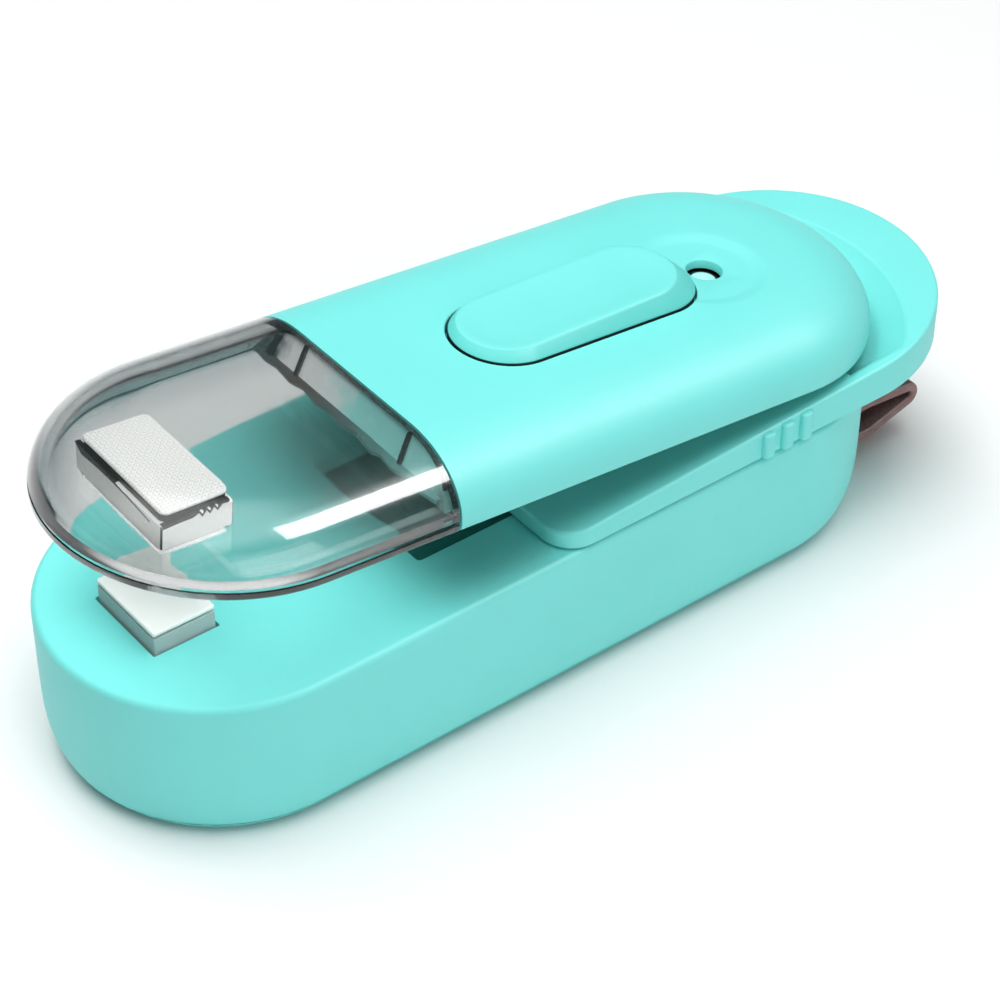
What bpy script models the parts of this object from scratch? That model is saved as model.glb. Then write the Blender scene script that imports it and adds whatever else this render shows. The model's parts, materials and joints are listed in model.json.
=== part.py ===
"""Handheld bag heat sealer: a round-ended base, a wedge-shaped lock slide and a tilting press arm.

Metres, +Z up.  +Y runs from the nose to the strap end.  The origin is the middle of the base's
underside, and the sealer rests on Z = 0 with its jaw open.
"""

import math

import bmesh
import bpy
from mathutils import Vector

MM = 0.001
GAP = 0.3 * MM                      # clearance between touching pieces

# Base: a tub with round ends, closed by its deck on top and by a thin cover below.
BODY_R = 20.0 * MM                  # half the width of base, slide and arm
BASE_ARC_Y = 34.0 * MM              # distance of each round end's centre from the origin
DECK_Z = 19.3 * MM
DECK_T = 1.8 * MM
BASE_WALL = 1.8 * MM
BASE_DRAFT = 2.25 * MM              # how far the foot of the wall is drawn in
BASE_DRAFT_POWER = 8
DECK_EDGE_R = 0.8 * MM
COVER_T = 1.2 * MM
DOOR_SPLIT_Y = -15.0 * MM           # seam between the fixed cover and the battery door
WINDOW_X = 10.2 * MM                # half width of the deck's opening under the arm
WINDOW_Y = (-14.5 * MM, 48.0 * MM)

# Lower sealing pad.
ANVIL_Y = -41.6 * MM
ANVIL_HALF = (5.6 * MM, 3.85 * MM)
ANVIL_TOP = DECK_Z + 2.8 * MM
PAD_T = 0.5 * MM

# Lock slide: its top is a gentle ramp, higher at the rear, with a dished seat for the arm's end.
SLIDE_FRONT_Y = -2.0 * MM
SLIDE_ARC_Y = 45.2 * MM
SLIDE_CORNER_R = 4.0 * MM
SLIDE_RISE = 2.6 * MM               # ramp height above the deck at Y = 0
SLIDE_SLOPE = 0.05
SEAT_CENTRE_Y = 34.5 * MM           # the seat's rear wall is concentric with the arm's end
SEAT_FRONT_Y = 41.0 * MM
SEAT_Z = DECK_Z + 3.0 * MM
SEAT_DEPTH = 3.75 * MM              # height over which the seat's wall leans out
SEAT_FLOOR = (23.0 * MM, 17.6 * MM)  # radius of the rear wall and half width, at the floor
SEAT_RIM = (24.9 * MM, 19.3 * MM)    # the same at the top of the lean
SLIDE_SLOT = (7.6 * MM, 50.6 * MM)  # half width and rear end of the slot around the hinge
SLIDE_TRAVEL = 3.0 * MM
RIB_FIRST_Y = 27.3 * MM
RIB_PITCH = 2.85 * MM
RIB_W = 1.7 * MM
RIB_PROUD = 0.75 * MM

# Press arm, drawn level in its own frame and then tilted nose-up about the hinge pin.
ARM_TILT = math.radians(5.84)
ARM_ORIGIN_Z = DECK_Z + 9.78 * MM   # height of the arm's bottom plane above Y = 0
ARM_FRONT_Y = -32.9 * MM            # centres of the arm's round ends
ARM_REAR_Y = 34.2 * MM
ARM_TOP = 7.9 * MM
ARM_SIDE = 0.83 * MM                # upright part of the side, below the crown's curve
ARM_CROWN_W = 9.7 * MM              # width and height of the curved crown edge
ARM_CROWN_H = ARM_TOP - ARM_SIDE
ARM_WALL = 1.6 * MM
JOINT_Y = -16.2 * MM                # seam between the opaque shell and the clear nose
PIN_Y = 44.2 * MM                   # hinge pin, in the arm's frame
PIN_Z = 2.4 * MM
PIN_R = 1.25 * MM
PIN_HOLE_R = PIN_R + GAP
EAR_X = (4.8 * MM, 6.8 * MM)        # inner and outer faces of the hinge ears
PLATE_Z = (0.3 * MM, 1.5 * MM)      # underplate's faces

# Press button and the indicator behind it, both a little off the arm's middle line.
BUTTON_R = 6.3 * MM
BUTTON_X = 1.4 * MM
BUTTON_Y = (3.3 * MM, 22.8 * MM)
BUTTON_MID_Y = 13.0 * MM
RIM_R = 5.45 * MM                   # edge of the button's dished top
RIM_X = 1.15 * MM
RIM_Y = (3.35 * MM, 21.05 * MM)
RIM_RISE = (1.0 * MM, 2.4 * MM)     # height of its front and rear end over the arm's top
LENS_X = 2.1 * MM
LENS_Y = 32.0 * MM
LENS_R = 1.6 * MM

# Heater head in the nose.
HEAD_Y = -41.0 * MM
HEAD_HALF = (6.9 * MM, 3.0 * MM)

# Two AA cells side by side in the base.
CELL_R = 7.0 * MM
CELL_X = 7.5 * MM
CELL_Z = 8.6 * MM
CELL_L = 49.2 * MM
CELL_LEFT_Y = -8.9 * MM
CELL_RIGHT_Y = -11.3 * MM
FRAME_Z = (16.0 * MM, 17.2 * MM)    # hinge frame's plate, just below the deck

# Fastenings, switch and return spring.
SEAM_Z = COVER_T + GAP
COVER_SCREWS = [(sx * x, y) for x, y in ((13.0 * MM, -40.0 * MM), (14.6 * MM, -20.5 * MM))
                for sx in (-1, 1)]
FRAME_SCREWS = [(sx * 5.4 * MM, y) for y in (-17.6 * MM, 49.3 * MM) for sx in (-1, 1)]
ANVIL_SCREWS = [(sx * 7.7 * MM, ANVIL_Y) for sx in (-1, 1)]
ARM_SCREWS = [(sx * 13.2 * MM, y) for y in (2.0 * MM, 30.0 * MM) for sx in (-1, 1)]
SCREW_HEAD_R = 1.9 * MM
SCREW_SHAFT_R = 0.9 * MM
SCREW_HOLE_R = 1.2 * MM
PLATE_FRONT_Y = -14.9 * MM          # front edge of the arm's underplate
SWITCH_X = 14.8 * MM
SWITCH_Y = 6.0 * MM
SPRING_Y = 14.0 * MM                # upright axis of the return spring

STRAP_HALF = 10.0 * MM
STRAP_T = 1.2 * MM
STRAP_BAR = (47.0 * MM, 6.0 * MM)   # Y and Z of the bar that holds the strap
STRAP_CIRCLES = [((60.7 * MM, 6.5 * MM), 0.5 * MM),   # the loop's fold, belly and bar,
                 ((54.2 * MM, 5.9 * MM), 1.7 * MM),   # each a centre (Y, Z) and the radius
                 (STRAP_BAR, 1.5 * MM)]               # of the loop's inner face round it

ARC_STEPS = 20

MATERIALS = {
    "turquoise_plastic": ((0.16, 0.80, 0.74), 0.38, 0.0),
    "clear_plastic": ((0.86, 0.90, 0.90), 0.06, 0.0),
    "dark_plastic": ((0.03, 0.06, 0.06), 0.5, 0.0),
    "pearl_plastic": ((0.78, 0.76, 0.74), 0.3, 0.0),
    "grey_plastic": ((0.36, 0.44, 0.44), 0.45, 0.0),
    "white_silicone": ((0.88, 0.88, 0.85), 0.55, 0.0),
    "woven_sheet": ((0.85, 0.84, 0.80), 0.7, 0.0),
    "ceramic": ((0.80, 0.78, 0.72), 0.6, 0.0),
    "steel": ((0.60, 0.60, 0.60), 0.3, 1.0),
    "spring_steel": ((0.10, 0.10, 0.11), 0.4, 1.0),
    "circuit_board": ((0.02, 0.16, 0.07), 0.5, 0.0),
    "cell_jacket": ((0.10, 0.10, 0.12), 0.35, 0.0),
    "wire_jacket": ((0.45, 0.04, 0.04), 0.5, 0.0),
    "strap_leather": ((0.25, 0.13, 0.13), 0.7, 0.0),
    "lens_plastic": ((0.45, 0.92, 0.86), 0.2, 0.0),
}


def clear_scene():
    for obj in list(bpy.data.objects):
        bpy.data.objects.remove(obj, do_unlink=True)


def material(name):
    found = bpy.data.materials.get(name)
    if found:
        return found
    colour, roughness, metallic = MATERIALS[name]
    made = bpy.data.materials.new(name)
    made.use_nodes = True
    shader = made.node_tree.nodes["Principled BSDF"]
    shader.inputs["Base Color"].default_value = (*colour, 1.0)
    shader.inputs["Roughness"].default_value = roughness
    shader.inputs["Metallic"].default_value = metallic
    return made


# ---------------------------------------------------------------- outlines

def arc(radius, centre, start, end, steps=ARC_STEPS):
    """Points of an arc in plan, from start to end in degrees."""
    cx, cy = centre
    angles = (math.radians(start + (end - start) * i / steps) for i in range(steps + 1))
    return [(cx + radius * math.cos(a), cy + radius * math.sin(a)) for a in angles]


def stadium(radius, front, rear, x=0.0):
    """Round-ended outline along Y, with the centres of its ends at front and rear."""
    return arc(radius, (x, rear), 0, 180) + arc(radius, (x, front), 180, 360)


def rear_half(radius, cut, rear):
    return [(radius, cut)] + arc(radius, (0, rear), 0, 180) + [(-radius, cut)]


def front_half(radius, front, cut):
    return [(-radius, cut)] + arc(radius, (0, front), 180, 360) + [(radius, cut)]


def rectangle(x, y, cx=0.0, cy=0.0):
    return [(cx + x, cy - y), (cx + x, cy + y), (cx - x, cy + y), (cx - x, cy - y)]


def rounded_rectangle(x, y, radius, cy=0.0, steps=4):
    corners = ((x, -y, 270), (x, y, 0), (-x, y, 90), (-x, -y, 180))
    points = []
    for px, py, start in corners:
        centre = (px - math.copysign(radius, px), cy + py - math.copysign(radius, py))
        points += arc(radius, centre, start, start + 90, steps)
    return points


# ---------------------------------------------------------------- solids

def finish(name, mesh_edit, material_name, smooth=True):
    bmesh.ops.recalc_face_normals(mesh_edit, faces=mesh_edit.faces)
    mesh = bpy.data.meshes.new(name)
    mesh_edit.to_mesh(mesh)
    mesh_edit.free()
    if smooth:
        mesh.shade_smooth()
        mesh.set_sharp_from_angle(angle=math.radians(35))
    mesh.materials.append(material(material_name))
    obj = bpy.data.objects.new(name, mesh)
    bpy.context.collection.objects.link(obj)
    return obj


def bridge(name, rings, material_name, smooth=True):
    """Closed solid through rings of 3-D points, flat across its first and last ring."""
    mesh_edit = bmesh.new()
    loops = [[mesh_edit.verts.new(point) for point in ring] for ring in rings]
    for low, high in zip(loops, loops[1:]):
        for i in range(len(low)):
            j = (i + 1) % len(low)
            mesh_edit.faces.new((low[i], low[j], high[j], high[i]))
    mesh_edit.faces.new(loops[0])
    mesh_edit.faces.new(loops[-1])
    return finish(name, mesh_edit, material_name, smooth)


def loft(name, levels, material_name, smooth=True):
    """Solid through level outlines: levels is a list of (outline, z)."""
    rings = [[Vector((x, y, z)) for x, y in outline] for outline, z in levels]
    return bridge(name, rings, material_name, smooth)


def prism(name, outline, low, high, material_name="dark_plastic"):
    return loft(name, [(outline, low), (outline, high)], material_name)


def block(name, x, y, z, material_name="dark_plastic"):
    """Box from three (low, high) pairs."""
    outline = [(x[0], y[0]), (x[1], y[0]), (x[1], y[1]), (x[0], y[1])]
    return prism(name, outline, z[0], z[1], material_name)


def turned(name, profile, axis, centre, material_name, steps=24):
    """Solid of revolution along an axis, from (radius, distance along the axis) pairs."""
    along, across, up = {"X": ((1, 0, 0), (0, 1, 0), (0, 0, 1)),
                         "Y": ((0, 1, 0), (0, 0, 1), (1, 0, 0)),
                         "Z": ((0, 0, 1), (1, 0, 0), (0, 1, 0))}[axis]
    along, across, up = Vector(along), Vector(across), Vector(up)
    rings = []
    for radius, distance in profile:
        middle = Vector(centre) + along * distance
        turns = (2 * math.pi * i / steps for i in range(steps))
        rings.append([middle + radius * (math.cos(a) * across + math.sin(a) * up) for a in turns])
    return bridge(name, rings, material_name)


def side_prism(name, outline, x_low, x_high, material_name):
    """Solid with a (y, z) outline, extruded along X."""
    rings = [[Vector((x, y, z)) for y, z in outline] for x in (x_low, x_high)]
    return bridge(name, rings, material_name)


def coil(name, radius, wire, low, high, turns, centre, material_name, axis="Z"):
    """Helical spring of round wire between two levels."""
    sides, steps = 6, int(16 * turns)
    start, end = low + wire, high - wire
    rings = []
    for i in range(steps + 1):
        angle = 2 * math.pi * turns * i / steps
        out = Vector((math.cos(angle), math.sin(angle), 0))
        middle = out * radius + Vector((0, 0, start + (end - start) * i / steps))
        ring = []
        for k in range(sides):
            a = 2 * math.pi * k / sides
            point = middle + wire * (math.cos(a) * out + math.sin(a) * Vector((0, 0, 1)))
            if axis == "Y":
                point = Vector((point.x, point.z, point.y))
            ring.append(point + Vector(centre))
        rings.append(ring)
    bridge(name, rings, material_name)


def tube(name, points, radius, material_name):
    """Lead along a smooth curve through a few chosen points."""
    curve = bpy.data.curves.new(name, "CURVE")
    curve.dimensions = "3D"
    curve.bevel_depth = radius
    curve.bevel_resolution = 2
    curve.use_fill_caps = True
    spline = curve.splines.new("POLY")
    smooth = spline_points([Vector(p) for p in points], 5)
    spline.points.add(len(smooth) - 1)
    for target, point in zip(spline.points, smooth):
        target.co = (*point, 1.0)
    curve.materials.append(material(material_name))
    bpy.context.collection.objects.link(bpy.data.objects.new(name, curve))


def spline_points(points, steps):
    """Catmull-Rom curve through the points."""
    padded = [2 * points[0] - points[1]] + points + [2 * points[-1] - points[-2]]
    result = []
    for a, b, c, d in zip(padded, padded[1:], padded[2:], padded[3:]):
        for i in range(steps):
            t = i / steps
            result.append(0.5 * (2 * b + (c - a) * t + (2 * a - 5 * b + 4 * c - d) * t * t
                                 + (3 * b - a - 3 * c + d) * t ** 3))
    return result + [points[-1]]


def combine(target, tools, operation):
    """Boolean with helper shapes, which stay in the file as hidden wire guides."""
    for tool in tools:
        tool.name = "guide_" + tool.name
        tool.hide_render = True
        tool.display_type = "WIRE"
        modifier = target.modifiers.new(operation.lower(), "BOOLEAN")
        modifier.operation = operation
        modifier.solver = "EXACT"
        modifier.object = tool
    return target


def cut(target, *tools):
    return combine(target, tools, "DIFFERENCE")


def join(target, *tools):
    return combine(target, tools, "UNION")


def countersunk_screw(name, x, y, face, length):
    """Screw driven upwards, its head just inside the face at that level, with a cross recess."""
    profile = [(SCREW_HEAD_R, 0.1 * MM), (SCREW_HEAD_R, 0.3 * MM), (SCREW_SHAFT_R, 1.1 * MM),
               (SCREW_SHAFT_R, length - 0.6 * MM), (0.3 * MM, length)]
    screw = turned(name, profile, "Z", (x, y, face), "steel", 16)
    recess = (-0.5 * MM, 0.55 * MM)
    arms = [prism(name + "_slot_%d" % k, rectangle(1.1 * MM, 0.22 * MM, x, y)
                  if k else rectangle(0.22 * MM, 1.1 * MM, x, y),
                  face + recess[0], face + recess[1] + 0.05 * MM * k) for k in (0, 1)]
    cut(screw, *arms)


def screw_hole(name, x, y, face, depth):
    """Clearance hole with its countersink, opening downwards at the face."""
    mouth_r = SCREW_HEAD_R + GAP
    profile = [(mouth_r, -0.4 * MM), (mouth_r, 0.35 * MM), (SCREW_HOLE_R, 1.15 * MM),
               (SCREW_HOLE_R, depth)]
    return turned(name, profile, "Z", (x, y, face), "steel", 16)


# ---------------------------------------------------------------- base

def base_inset(z):
    return BASE_DRAFT * (1 - z / DECK_Z) ** BASE_DRAFT_POWER


def base_outline(inset):
    return stadium(BODY_R - inset, -BASE_ARC_Y, BASE_ARC_Y)


def make_base_shell():
    levels = []
    for k in range(5):
        a = math.radians(22.5 * k)
        inset, drop = DECK_EDGE_R * (1 - math.sin(a)), DECK_EDGE_R * (1 - math.cos(a))
        levels.append((base_outline(inset), DECK_Z - drop))
    for z in (12 * MM, 8 * MM, 5.5 * MM, 4 * MM, 2.6 * MM, SEAM_Z):
        levels.append((base_outline(base_inset(z)), z))
    for z in (SEAM_Z, 4 * MM, 8 * MM):
        levels.append((base_outline(BASE_WALL + base_inset(z)), z))
    levels.append((base_outline(BASE_WALL), DECK_Z - DECK_T))
    shell = loft("base_shell", levels, "turquoise_plastic")

    roof = DECK_Z - DECK_T + 0.2 * MM
    bosses = [turned("cover_boss_%d" % i, [(2.2 * MM, SEAM_Z), (2.2 * MM, roof)], "Z", (x, y, 0),
                     "turquoise_plastic", 16) for i, (x, y) in enumerate(COVER_SCREWS)]
    ribs = [block("front_rib", (-18.4 * MM, 18.4 * MM), (-14.3 * MM, -13.4 * MM),
                  (1.8 * MM, 15.6 * MM)),
            block("rear_rib", (-16.6 * MM, 16.6 * MM), (42.4 * MM, 43.3 * MM),
                  (1.8 * MM, 15.6 * MM))]
    posts = [block("bar_post_%d" % i, (min(a, b), max(a, b)), (45.4 * MM, 48.6 * MM),
                   (3.2 * MM, roof))
             for i, (a, b) in enumerate(((11.0 * MM, 12.8 * MM), (-11.0 * MM, -12.8 * MM)))]
    join(shell, *bosses, *ribs, *posts)

    pilots = [turned("pilot_%d" % i, [(SCREW_HOLE_R, 0), (SCREW_HOLE_R, 11 * MM)], "Z", (x, y, 0),
                     "steel", 16) for i, (x, y) in enumerate(COVER_SCREWS)]
    blind = [turned("blind_%d" % i, [(SCREW_HOLE_R, 17.0 * MM), (SCREW_HOLE_R, DECK_Z - 0.5 * MM)], "Z",
                    (x, y, 0), "steel", 16) for i, (x, y) in enumerate(FRAME_SCREWS + ANVIL_SCREWS)]
    window = block("window", (-WINDOW_X, WINDOW_X), WINDOW_Y, (17.0 * MM, 20.0 * MM))
    rebate = block("rail_rebate", (-11.8 * MM, 11.8 * MM), (1.0 * MM, 37.0 * MM),
                   (17.0 * MM, 18.4 * MM))
    anvil_hole = prism("anvil_hole", rectangle(ANVIL_HALF[0] + GAP, ANVIL_HALF[1] + GAP, 0, ANVIL_Y),
                       17.0 * MM, 20.0 * MM)
    switch_slot = block("switch_slot", (SWITCH_X - 1.1 * MM, SWITCH_X + 1.1 * MM),
                        (SWITCH_Y - SLIDE_TRAVEL - 1.2 * MM, SWITCH_Y + 1.2 * MM),
                        (17.0 * MM, 20.0 * MM))
    strap_slot = block("strap_slot", (-STRAP_HALF - 0.5 * MM, STRAP_HALF + 0.5 * MM),
                       (46.0 * MM, 56.0 * MM), (2.4 * MM, 10.3 * MM))
    bar_hole = turned("bar_hole", [(1.5 * MM, -12.2 * MM), (1.5 * MM, 12.2 * MM)], "X",
                      (0, *STRAP_BAR), "steel", 20)
    cut(shell, *pilots, *blind, window, rebate, anvil_hole, switch_slot, strap_slot, bar_hole)


def cover_solid(name):
    levels = [(base_outline(BASE_DRAFT + 0.4 * MM), 0.0),
              (base_outline(base_inset(0.3 * MM)), 0.3 * MM),
              (base_outline(base_inset(COVER_T)), COVER_T)]
    return loft(name, levels, "turquoise_plastic")


def make_bottom_cover():
    cover = cover_solid("bottom_cover")
    rear = block("cover_trim", (-30 * MM, 30 * MM), (DOOR_SPLIT_Y - GAP / 2, 70 * MM),
                 (-2 * MM, 4 * MM))
    holes = [screw_hole("cover_hole_%d" % i, x, y, 0.0, 3 * MM)
             for i, (x, y) in enumerate(COVER_SCREWS)]
    cut(cover, rear, *holes)


def make_battery_door():
    door = cover_solid("battery_door")
    front = block("door_trim", (-30 * MM, 30 * MM), (-70 * MM, DOOR_SPLIT_Y + GAP / 2),
                  (-2 * MM, 4 * MM))
    grooves = [block("door_groove_%d" % k, (-6 * MM, 6 * MM),
                     ((34 + 2.2 * k) * MM, (35 + 2.2 * k) * MM), (-1 * MM, 0.45 * MM))
               for k in range(4)]
    cut(door, front, *grooves)


def make_cell(name, x, front, nub_at_rear):
    rim = 0.6 * MM
    body = [(CELL_R - rim, 0.0), (CELL_R, rim), (CELL_R, CELL_L - rim), (CELL_R - rim, CELL_L)]
    nub = [(2.7 * MM, CELL_L), (2.7 * MM, CELL_L + 1.0 * MM)]
    profile = body + nub
    if not nub_at_rear:
        profile = [(radius, CELL_L - along) for radius, along in profile]
    turned(name, profile, "Y", (x, front, CELL_Z), "cell_jacket", 28)


def make_contacts():
    plate_z = (3.2 * MM, 14.2 * MM)
    block("battery_bridge_contact", (-14 * MM, 14 * MM), (41.6 * MM, 42.1 * MM), plate_z, "steel")
    block("battery_contact_left", (-12 * MM, -3 * MM), (-13.1 * MM, -12.6 * MM), plate_z, "steel")
    block("battery_contact_right", (3 * MM, 12 * MM), (-13.1 * MM, -12.6 * MM), plate_z, "steel")
    coil("battery_spring_front", 3.4 * MM, 0.3 * MM, -12.3 * MM, CELL_LEFT_Y - GAP, 2.5,
         (-CELL_X, 0, CELL_Z), "spring_steel", "Y")
    coil("battery_spring_rear", 3.4 * MM, 0.3 * MM, CELL_RIGHT_Y + CELL_L + GAP, 41.3 * MM, 2.5,
         (CELL_X, 0, CELL_Z), "spring_steel", "Y")


def make_anvil():
    top = ANVIL_TOP - PAD_T - GAP
    holder = prism("anvil_holder", rectangle(*ANVIL_HALF, 0, ANVIL_Y), FRAME_Z[0] + 0.5 * MM, top,
                   "grey_plastic")
    flange = prism("anvil_flange", rectangle(9.6 * MM, 5.6 * MM, 0, ANVIL_Y), *FRAME_Z)
    join(holder, flange)
    cut(holder, *[turned("anvil_screw_hole_%d" % i, [(SCREW_HOLE_R, 15 * MM), (SCREW_HOLE_R, 18 * MM)],
                         "Z", (x, y, 0), "steel", 16) for i, (x, y) in enumerate(ANVIL_SCREWS)])
    prism("anvil_pad", rectangle(*ANVIL_HALF, 0, ANVIL_Y), ANVIL_TOP - PAD_T, ANVIL_TOP,
          "white_silicone")


def pan_screw(name, x, y, face, top):
    """Screw with a low round head below the face, driven upwards."""
    profile = [(1.2 * MM, face - 1.0 * MM), (1.5 * MM, face - 0.7 * MM), (1.5 * MM, face - GAP),
               (SCREW_SHAFT_R, face - GAP), (SCREW_SHAFT_R, top)]
    return turned(name, profile, "Z", (x, y, 0), "steel", 16)


def arm_to_world(y, z):
    """World (y, z) of a point given in the arm's level frame."""
    c, s = math.cos(ARM_TILT), math.sin(ARM_TILT)
    return y * c + z * s, ARM_ORIGIN_Z - y * s + z * c


PIN_WORLD = arm_to_world(PIN_Y, PIN_Z)



def make_hinge():
    half, rear_r, front_y = 10.7 * MM, BODY_R - BASE_WALL - 0.6 * MM, -19.6 * MM
    lean = math.degrees(math.acos(half / rear_r))
    outline = [(-half, front_y), (half, front_y)]
    outline += arc(rear_r, (0, BASE_ARC_Y), lean, 180 - lean, 10)
    frame = prism("hinge_frame", outline, *FRAME_Z, "dark_plastic")
    pin_y, pin_z = PIN_WORLD
    ear_r = 2.8 * MM
    ear = [(pin_y - ear_r, FRAME_Z[1] - 0.4 * MM), (pin_y + ear_r, FRAME_Z[1] - 0.4 * MM)]
    ear += arc(ear_r, (pin_y, pin_z), 0, 180, 12)
    ears = [side_prism("ear_%d" % i, ear, min(a, b), max(a, b), "dark_plastic")
            for i, (a, b) in enumerate((EAR_X, (-EAR_X[0], -EAR_X[1])))]
    seat = turned("spring_seat", [(2.2 * MM, 17.0 * MM), (2.2 * MM, 18.6 * MM)], "Z",
                  (0, SPRING_Y, 0), "dark_plastic", 20)
    join(frame, *ears, seat)
    holes = [turned("frame_hole_%d" % i, [(SCREW_HOLE_R, 15 * MM), (SCREW_HOLE_R, 18 * MM)], "Z", (x, y, 0),
                    "steel", 16) for i, (x, y) in enumerate(FRAME_SCREWS)]
    bore = turned("ear_bore", [(PIN_HOLE_R, -9 * MM), (PIN_HOLE_R, 9 * MM)], "X",
                  (0, pin_y, pin_z), "steel", 20)
    cut(frame, *holes, bore)
    turned("hinge_pin", [(PIN_R - 0.3 * MM, -7.0 * MM), (PIN_R, -6.7 * MM), (PIN_R, 6.7 * MM),
                         (PIN_R - 0.3 * MM, 7.0 * MM)], "X", (0, pin_y, pin_z), "steel", 20)
    plate_z = arm_to_world(SPRING_Y + 3.7 * MM, PLATE_Z[0])[1]
    coil("return_spring", 3.3 * MM, 0.35 * MM, FRAME_Z[1] + GAP, plate_z - GAP, 5,
         (0, SPRING_Y, 0), "spring_steel")


def make_switch():
    low, high = 14.4 * MM, FRAME_Z[1]
    body = block("power_switch", (12.6 * MM, 17.2 * MM), (-1.0 * MM, 9.6 * MM), (low, high),
                 "dark_plastic")
    channel = block("switch_channel", (SWITCH_X - 1.1 * MM, SWITCH_X + 1.1 * MM),
                    (SWITCH_Y - SLIDE_TRAVEL - 1.2 * MM, SWITCH_Y + 1.2 * MM),
                    (low + 0.8 * MM, high + 1 * MM))
    cut(body, channel)


def seat_outline(radius, half):
    """Rear wall of the seat as an arc that ends at straight sides."""
    lean = math.degrees(math.acos(half / radius))
    sweep = arc(radius, (0, SEAT_CENTRE_Y), lean, 180 - lean, 24)
    return [(half, SEAT_FRONT_Y)] + sweep + [(-half, SEAT_FRONT_Y)]


def make_slide():
    rim = DECK_Z + GAP
    corner = SLIDE_CORNER_R
    corner_y = SLIDE_FRONT_Y + corner
    outline = arc(corner, (BODY_R - corner, corner_y), 270, 360, 6)
    outline += arc(BODY_R, (0, SLIDE_ARC_Y), 0, 180, 28)
    outline += arc(corner, (corner - BODY_R, corner_y), 180, 270, 6)
    slide = prism("lock_slide", outline, rim, DECK_Z + 9 * MM, "turquoise_plastic")

    def ramp(y):
        return DECK_Z + SLIDE_RISE + SLIDE_SLOPE * y

    ends = (-20 * MM, 90 * MM)
    above = [(ends[0], ramp(ends[0])), (ends[1], ramp(ends[1])), (ends[1], 60 * MM),
             (ends[0], 60 * MM)]
    ramp_cut = side_prism("ramp_cut", above, -30 * MM, 30 * MM, "dark_plastic")
    seat = loft("seat_cut", [(seat_outline(*SEAT_FLOOR), SEAT_Z),
                             (seat_outline(*SEAT_RIM), SEAT_Z + SEAT_DEPTH)], "dark_plastic")
    slot = block("slot_cut", (-SLIDE_SLOT[0], SLIDE_SLOT[0]), (-20 * MM, SLIDE_SLOT[1]),
                 (10 * MM, 40 * MM))
    pocket = block("actuator_pocket", (SWITCH_X - 1.1 * MM, SWITCH_X + 1.1 * MM),
                   (SWITCH_Y - 1.1 * MM, SWITCH_Y + 1.1 * MM), (10 * MM, rim + 1.3 * MM))
    cut(slide, ramp_cut, seat, slot, pocket)

    rails = []
    for i, side in enumerate((1, -1)):
        neck = sorted((side * 8.9 * MM, side * 9.9 * MM))
        lip = sorted((side * 8.9 * MM, side * 11.4 * MM))
        rails.append(block("rail_neck_%d" % i, neck, (6 * MM, 36 * MM), (17.6 * MM, rim + 0.5 * MM)))
        rails.append(block("rail_lip_%d" % i, lip, (6 * MM, 36 * MM), (17.5 * MM, 18.1 * MM)))
    ribs = []
    for k in range(3):
        y = RIB_FIRST_Y + k * RIB_PITCH
        for i, side in enumerate((1, -1)):
            upper = sorted((side * (BODY_R - 0.6 * MM), side * (BODY_R + RIB_PROUD)))
            lower = sorted((side * (BODY_R + GAP), side * (BODY_R + RIB_PROUD)))
            span = (y - RIB_W / 2, y + RIB_W / 2)
            top = ramp(y) - 0.15 * MM
            ribs.append(block("grip_%d_%d" % (k, i), upper, span, (rim + 0.1 * MM, top)))
            ribs.append(block("grip_foot_%d_%d" % (k, i), lower, span,
                              (DECK_Z - 0.5 * MM, rim + 0.6 * MM)))
    join(slide, *rails, *ribs)
    block("switch_actuator", (SWITCH_X - 0.8 * MM, SWITCH_X + 0.8 * MM),
          (SWITCH_Y - 0.8 * MM, SWITCH_Y + 0.8 * MM), (15.5 * MM, rim + 1.0 * MM), "dark_plastic")


def tangent_angles(one, other):
    """Normals, in degrees, of the upper and lower lines that touch two circles."""
    (y0, z0), r0 = one
    (y1, z1), r1 = other
    lean = math.degrees(math.atan2(z0 - z1, y0 - y1))
    swing = math.degrees(math.asin((r1 - r0) / math.dist((y0, z0), (y1, z1))))
    return lean + 90 - swing, lean - 90 + swing


def loop_outline(offset):
    """Leaf-shaped outline in (y, z) round the strap's three circles."""
    fold, belly, bar = STRAP_CIRCLES
    fold_up, fold_down = tangent_angles(fold, belly)
    bar_up, bar_down = tangent_angles(belly, bar)
    return (arc(fold[1] + offset, fold[0], fold_down, fold_up, 12)
            + arc(belly[1] + offset, belly[0], fold_up, bar_up, 3)
            + arc(bar[1] + offset, bar[0], bar_up, bar_down + 360, 10)
            + arc(belly[1] + offset, belly[0], bar_down, fold_down, 3))


def make_strap():
    strap = side_prism("strap_loop", loop_outline(STRAP_T), -STRAP_HALF, STRAP_HALF,
                       "strap_leather")
    inside = side_prism("strap_inside", loop_outline(0.0), -2 * STRAP_HALF, 2 * STRAP_HALF,
                        "strap_leather")
    cut(strap, inside)
    turned("strap_bar", [(1.2 * MM, -11.9 * MM), (1.2 * MM, 11.9 * MM)], "X", (0, *STRAP_BAR),
           "steel", 20)


def make_base_electrics():
    block("main_board", (-9 * MM, 9 * MM), (-35 * MM, -18 * MM), (5 * MM, 6.2 * MM),
          "circuit_board")
    tube("switch_lead", [(x * MM, y * MM, z * MM) for x, y, z in
                         ((14.3, -1.6, 15.9), (13.4, -6, 16.4), (12.0, -12, 16.6),
                          (11.6, -15.6, 16.2), (10.4, -20, 11), (7.6, -22.5, 6.9))],
         0.45 * MM, "wire_jacket")
    tube("cell_lead", [(x * MM, y * MM, z * MM) for x, y, z in
                       ((-7.5, -14.8, 10.5), (-7.4, -16.6, 10.0), (-6.8, -18.6, 8.2),
                        (-6.2, -20.6, 6.9))], 0.45 * MM, "wire_jacket")


# ---------------------------------------------------------------- press arm

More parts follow.
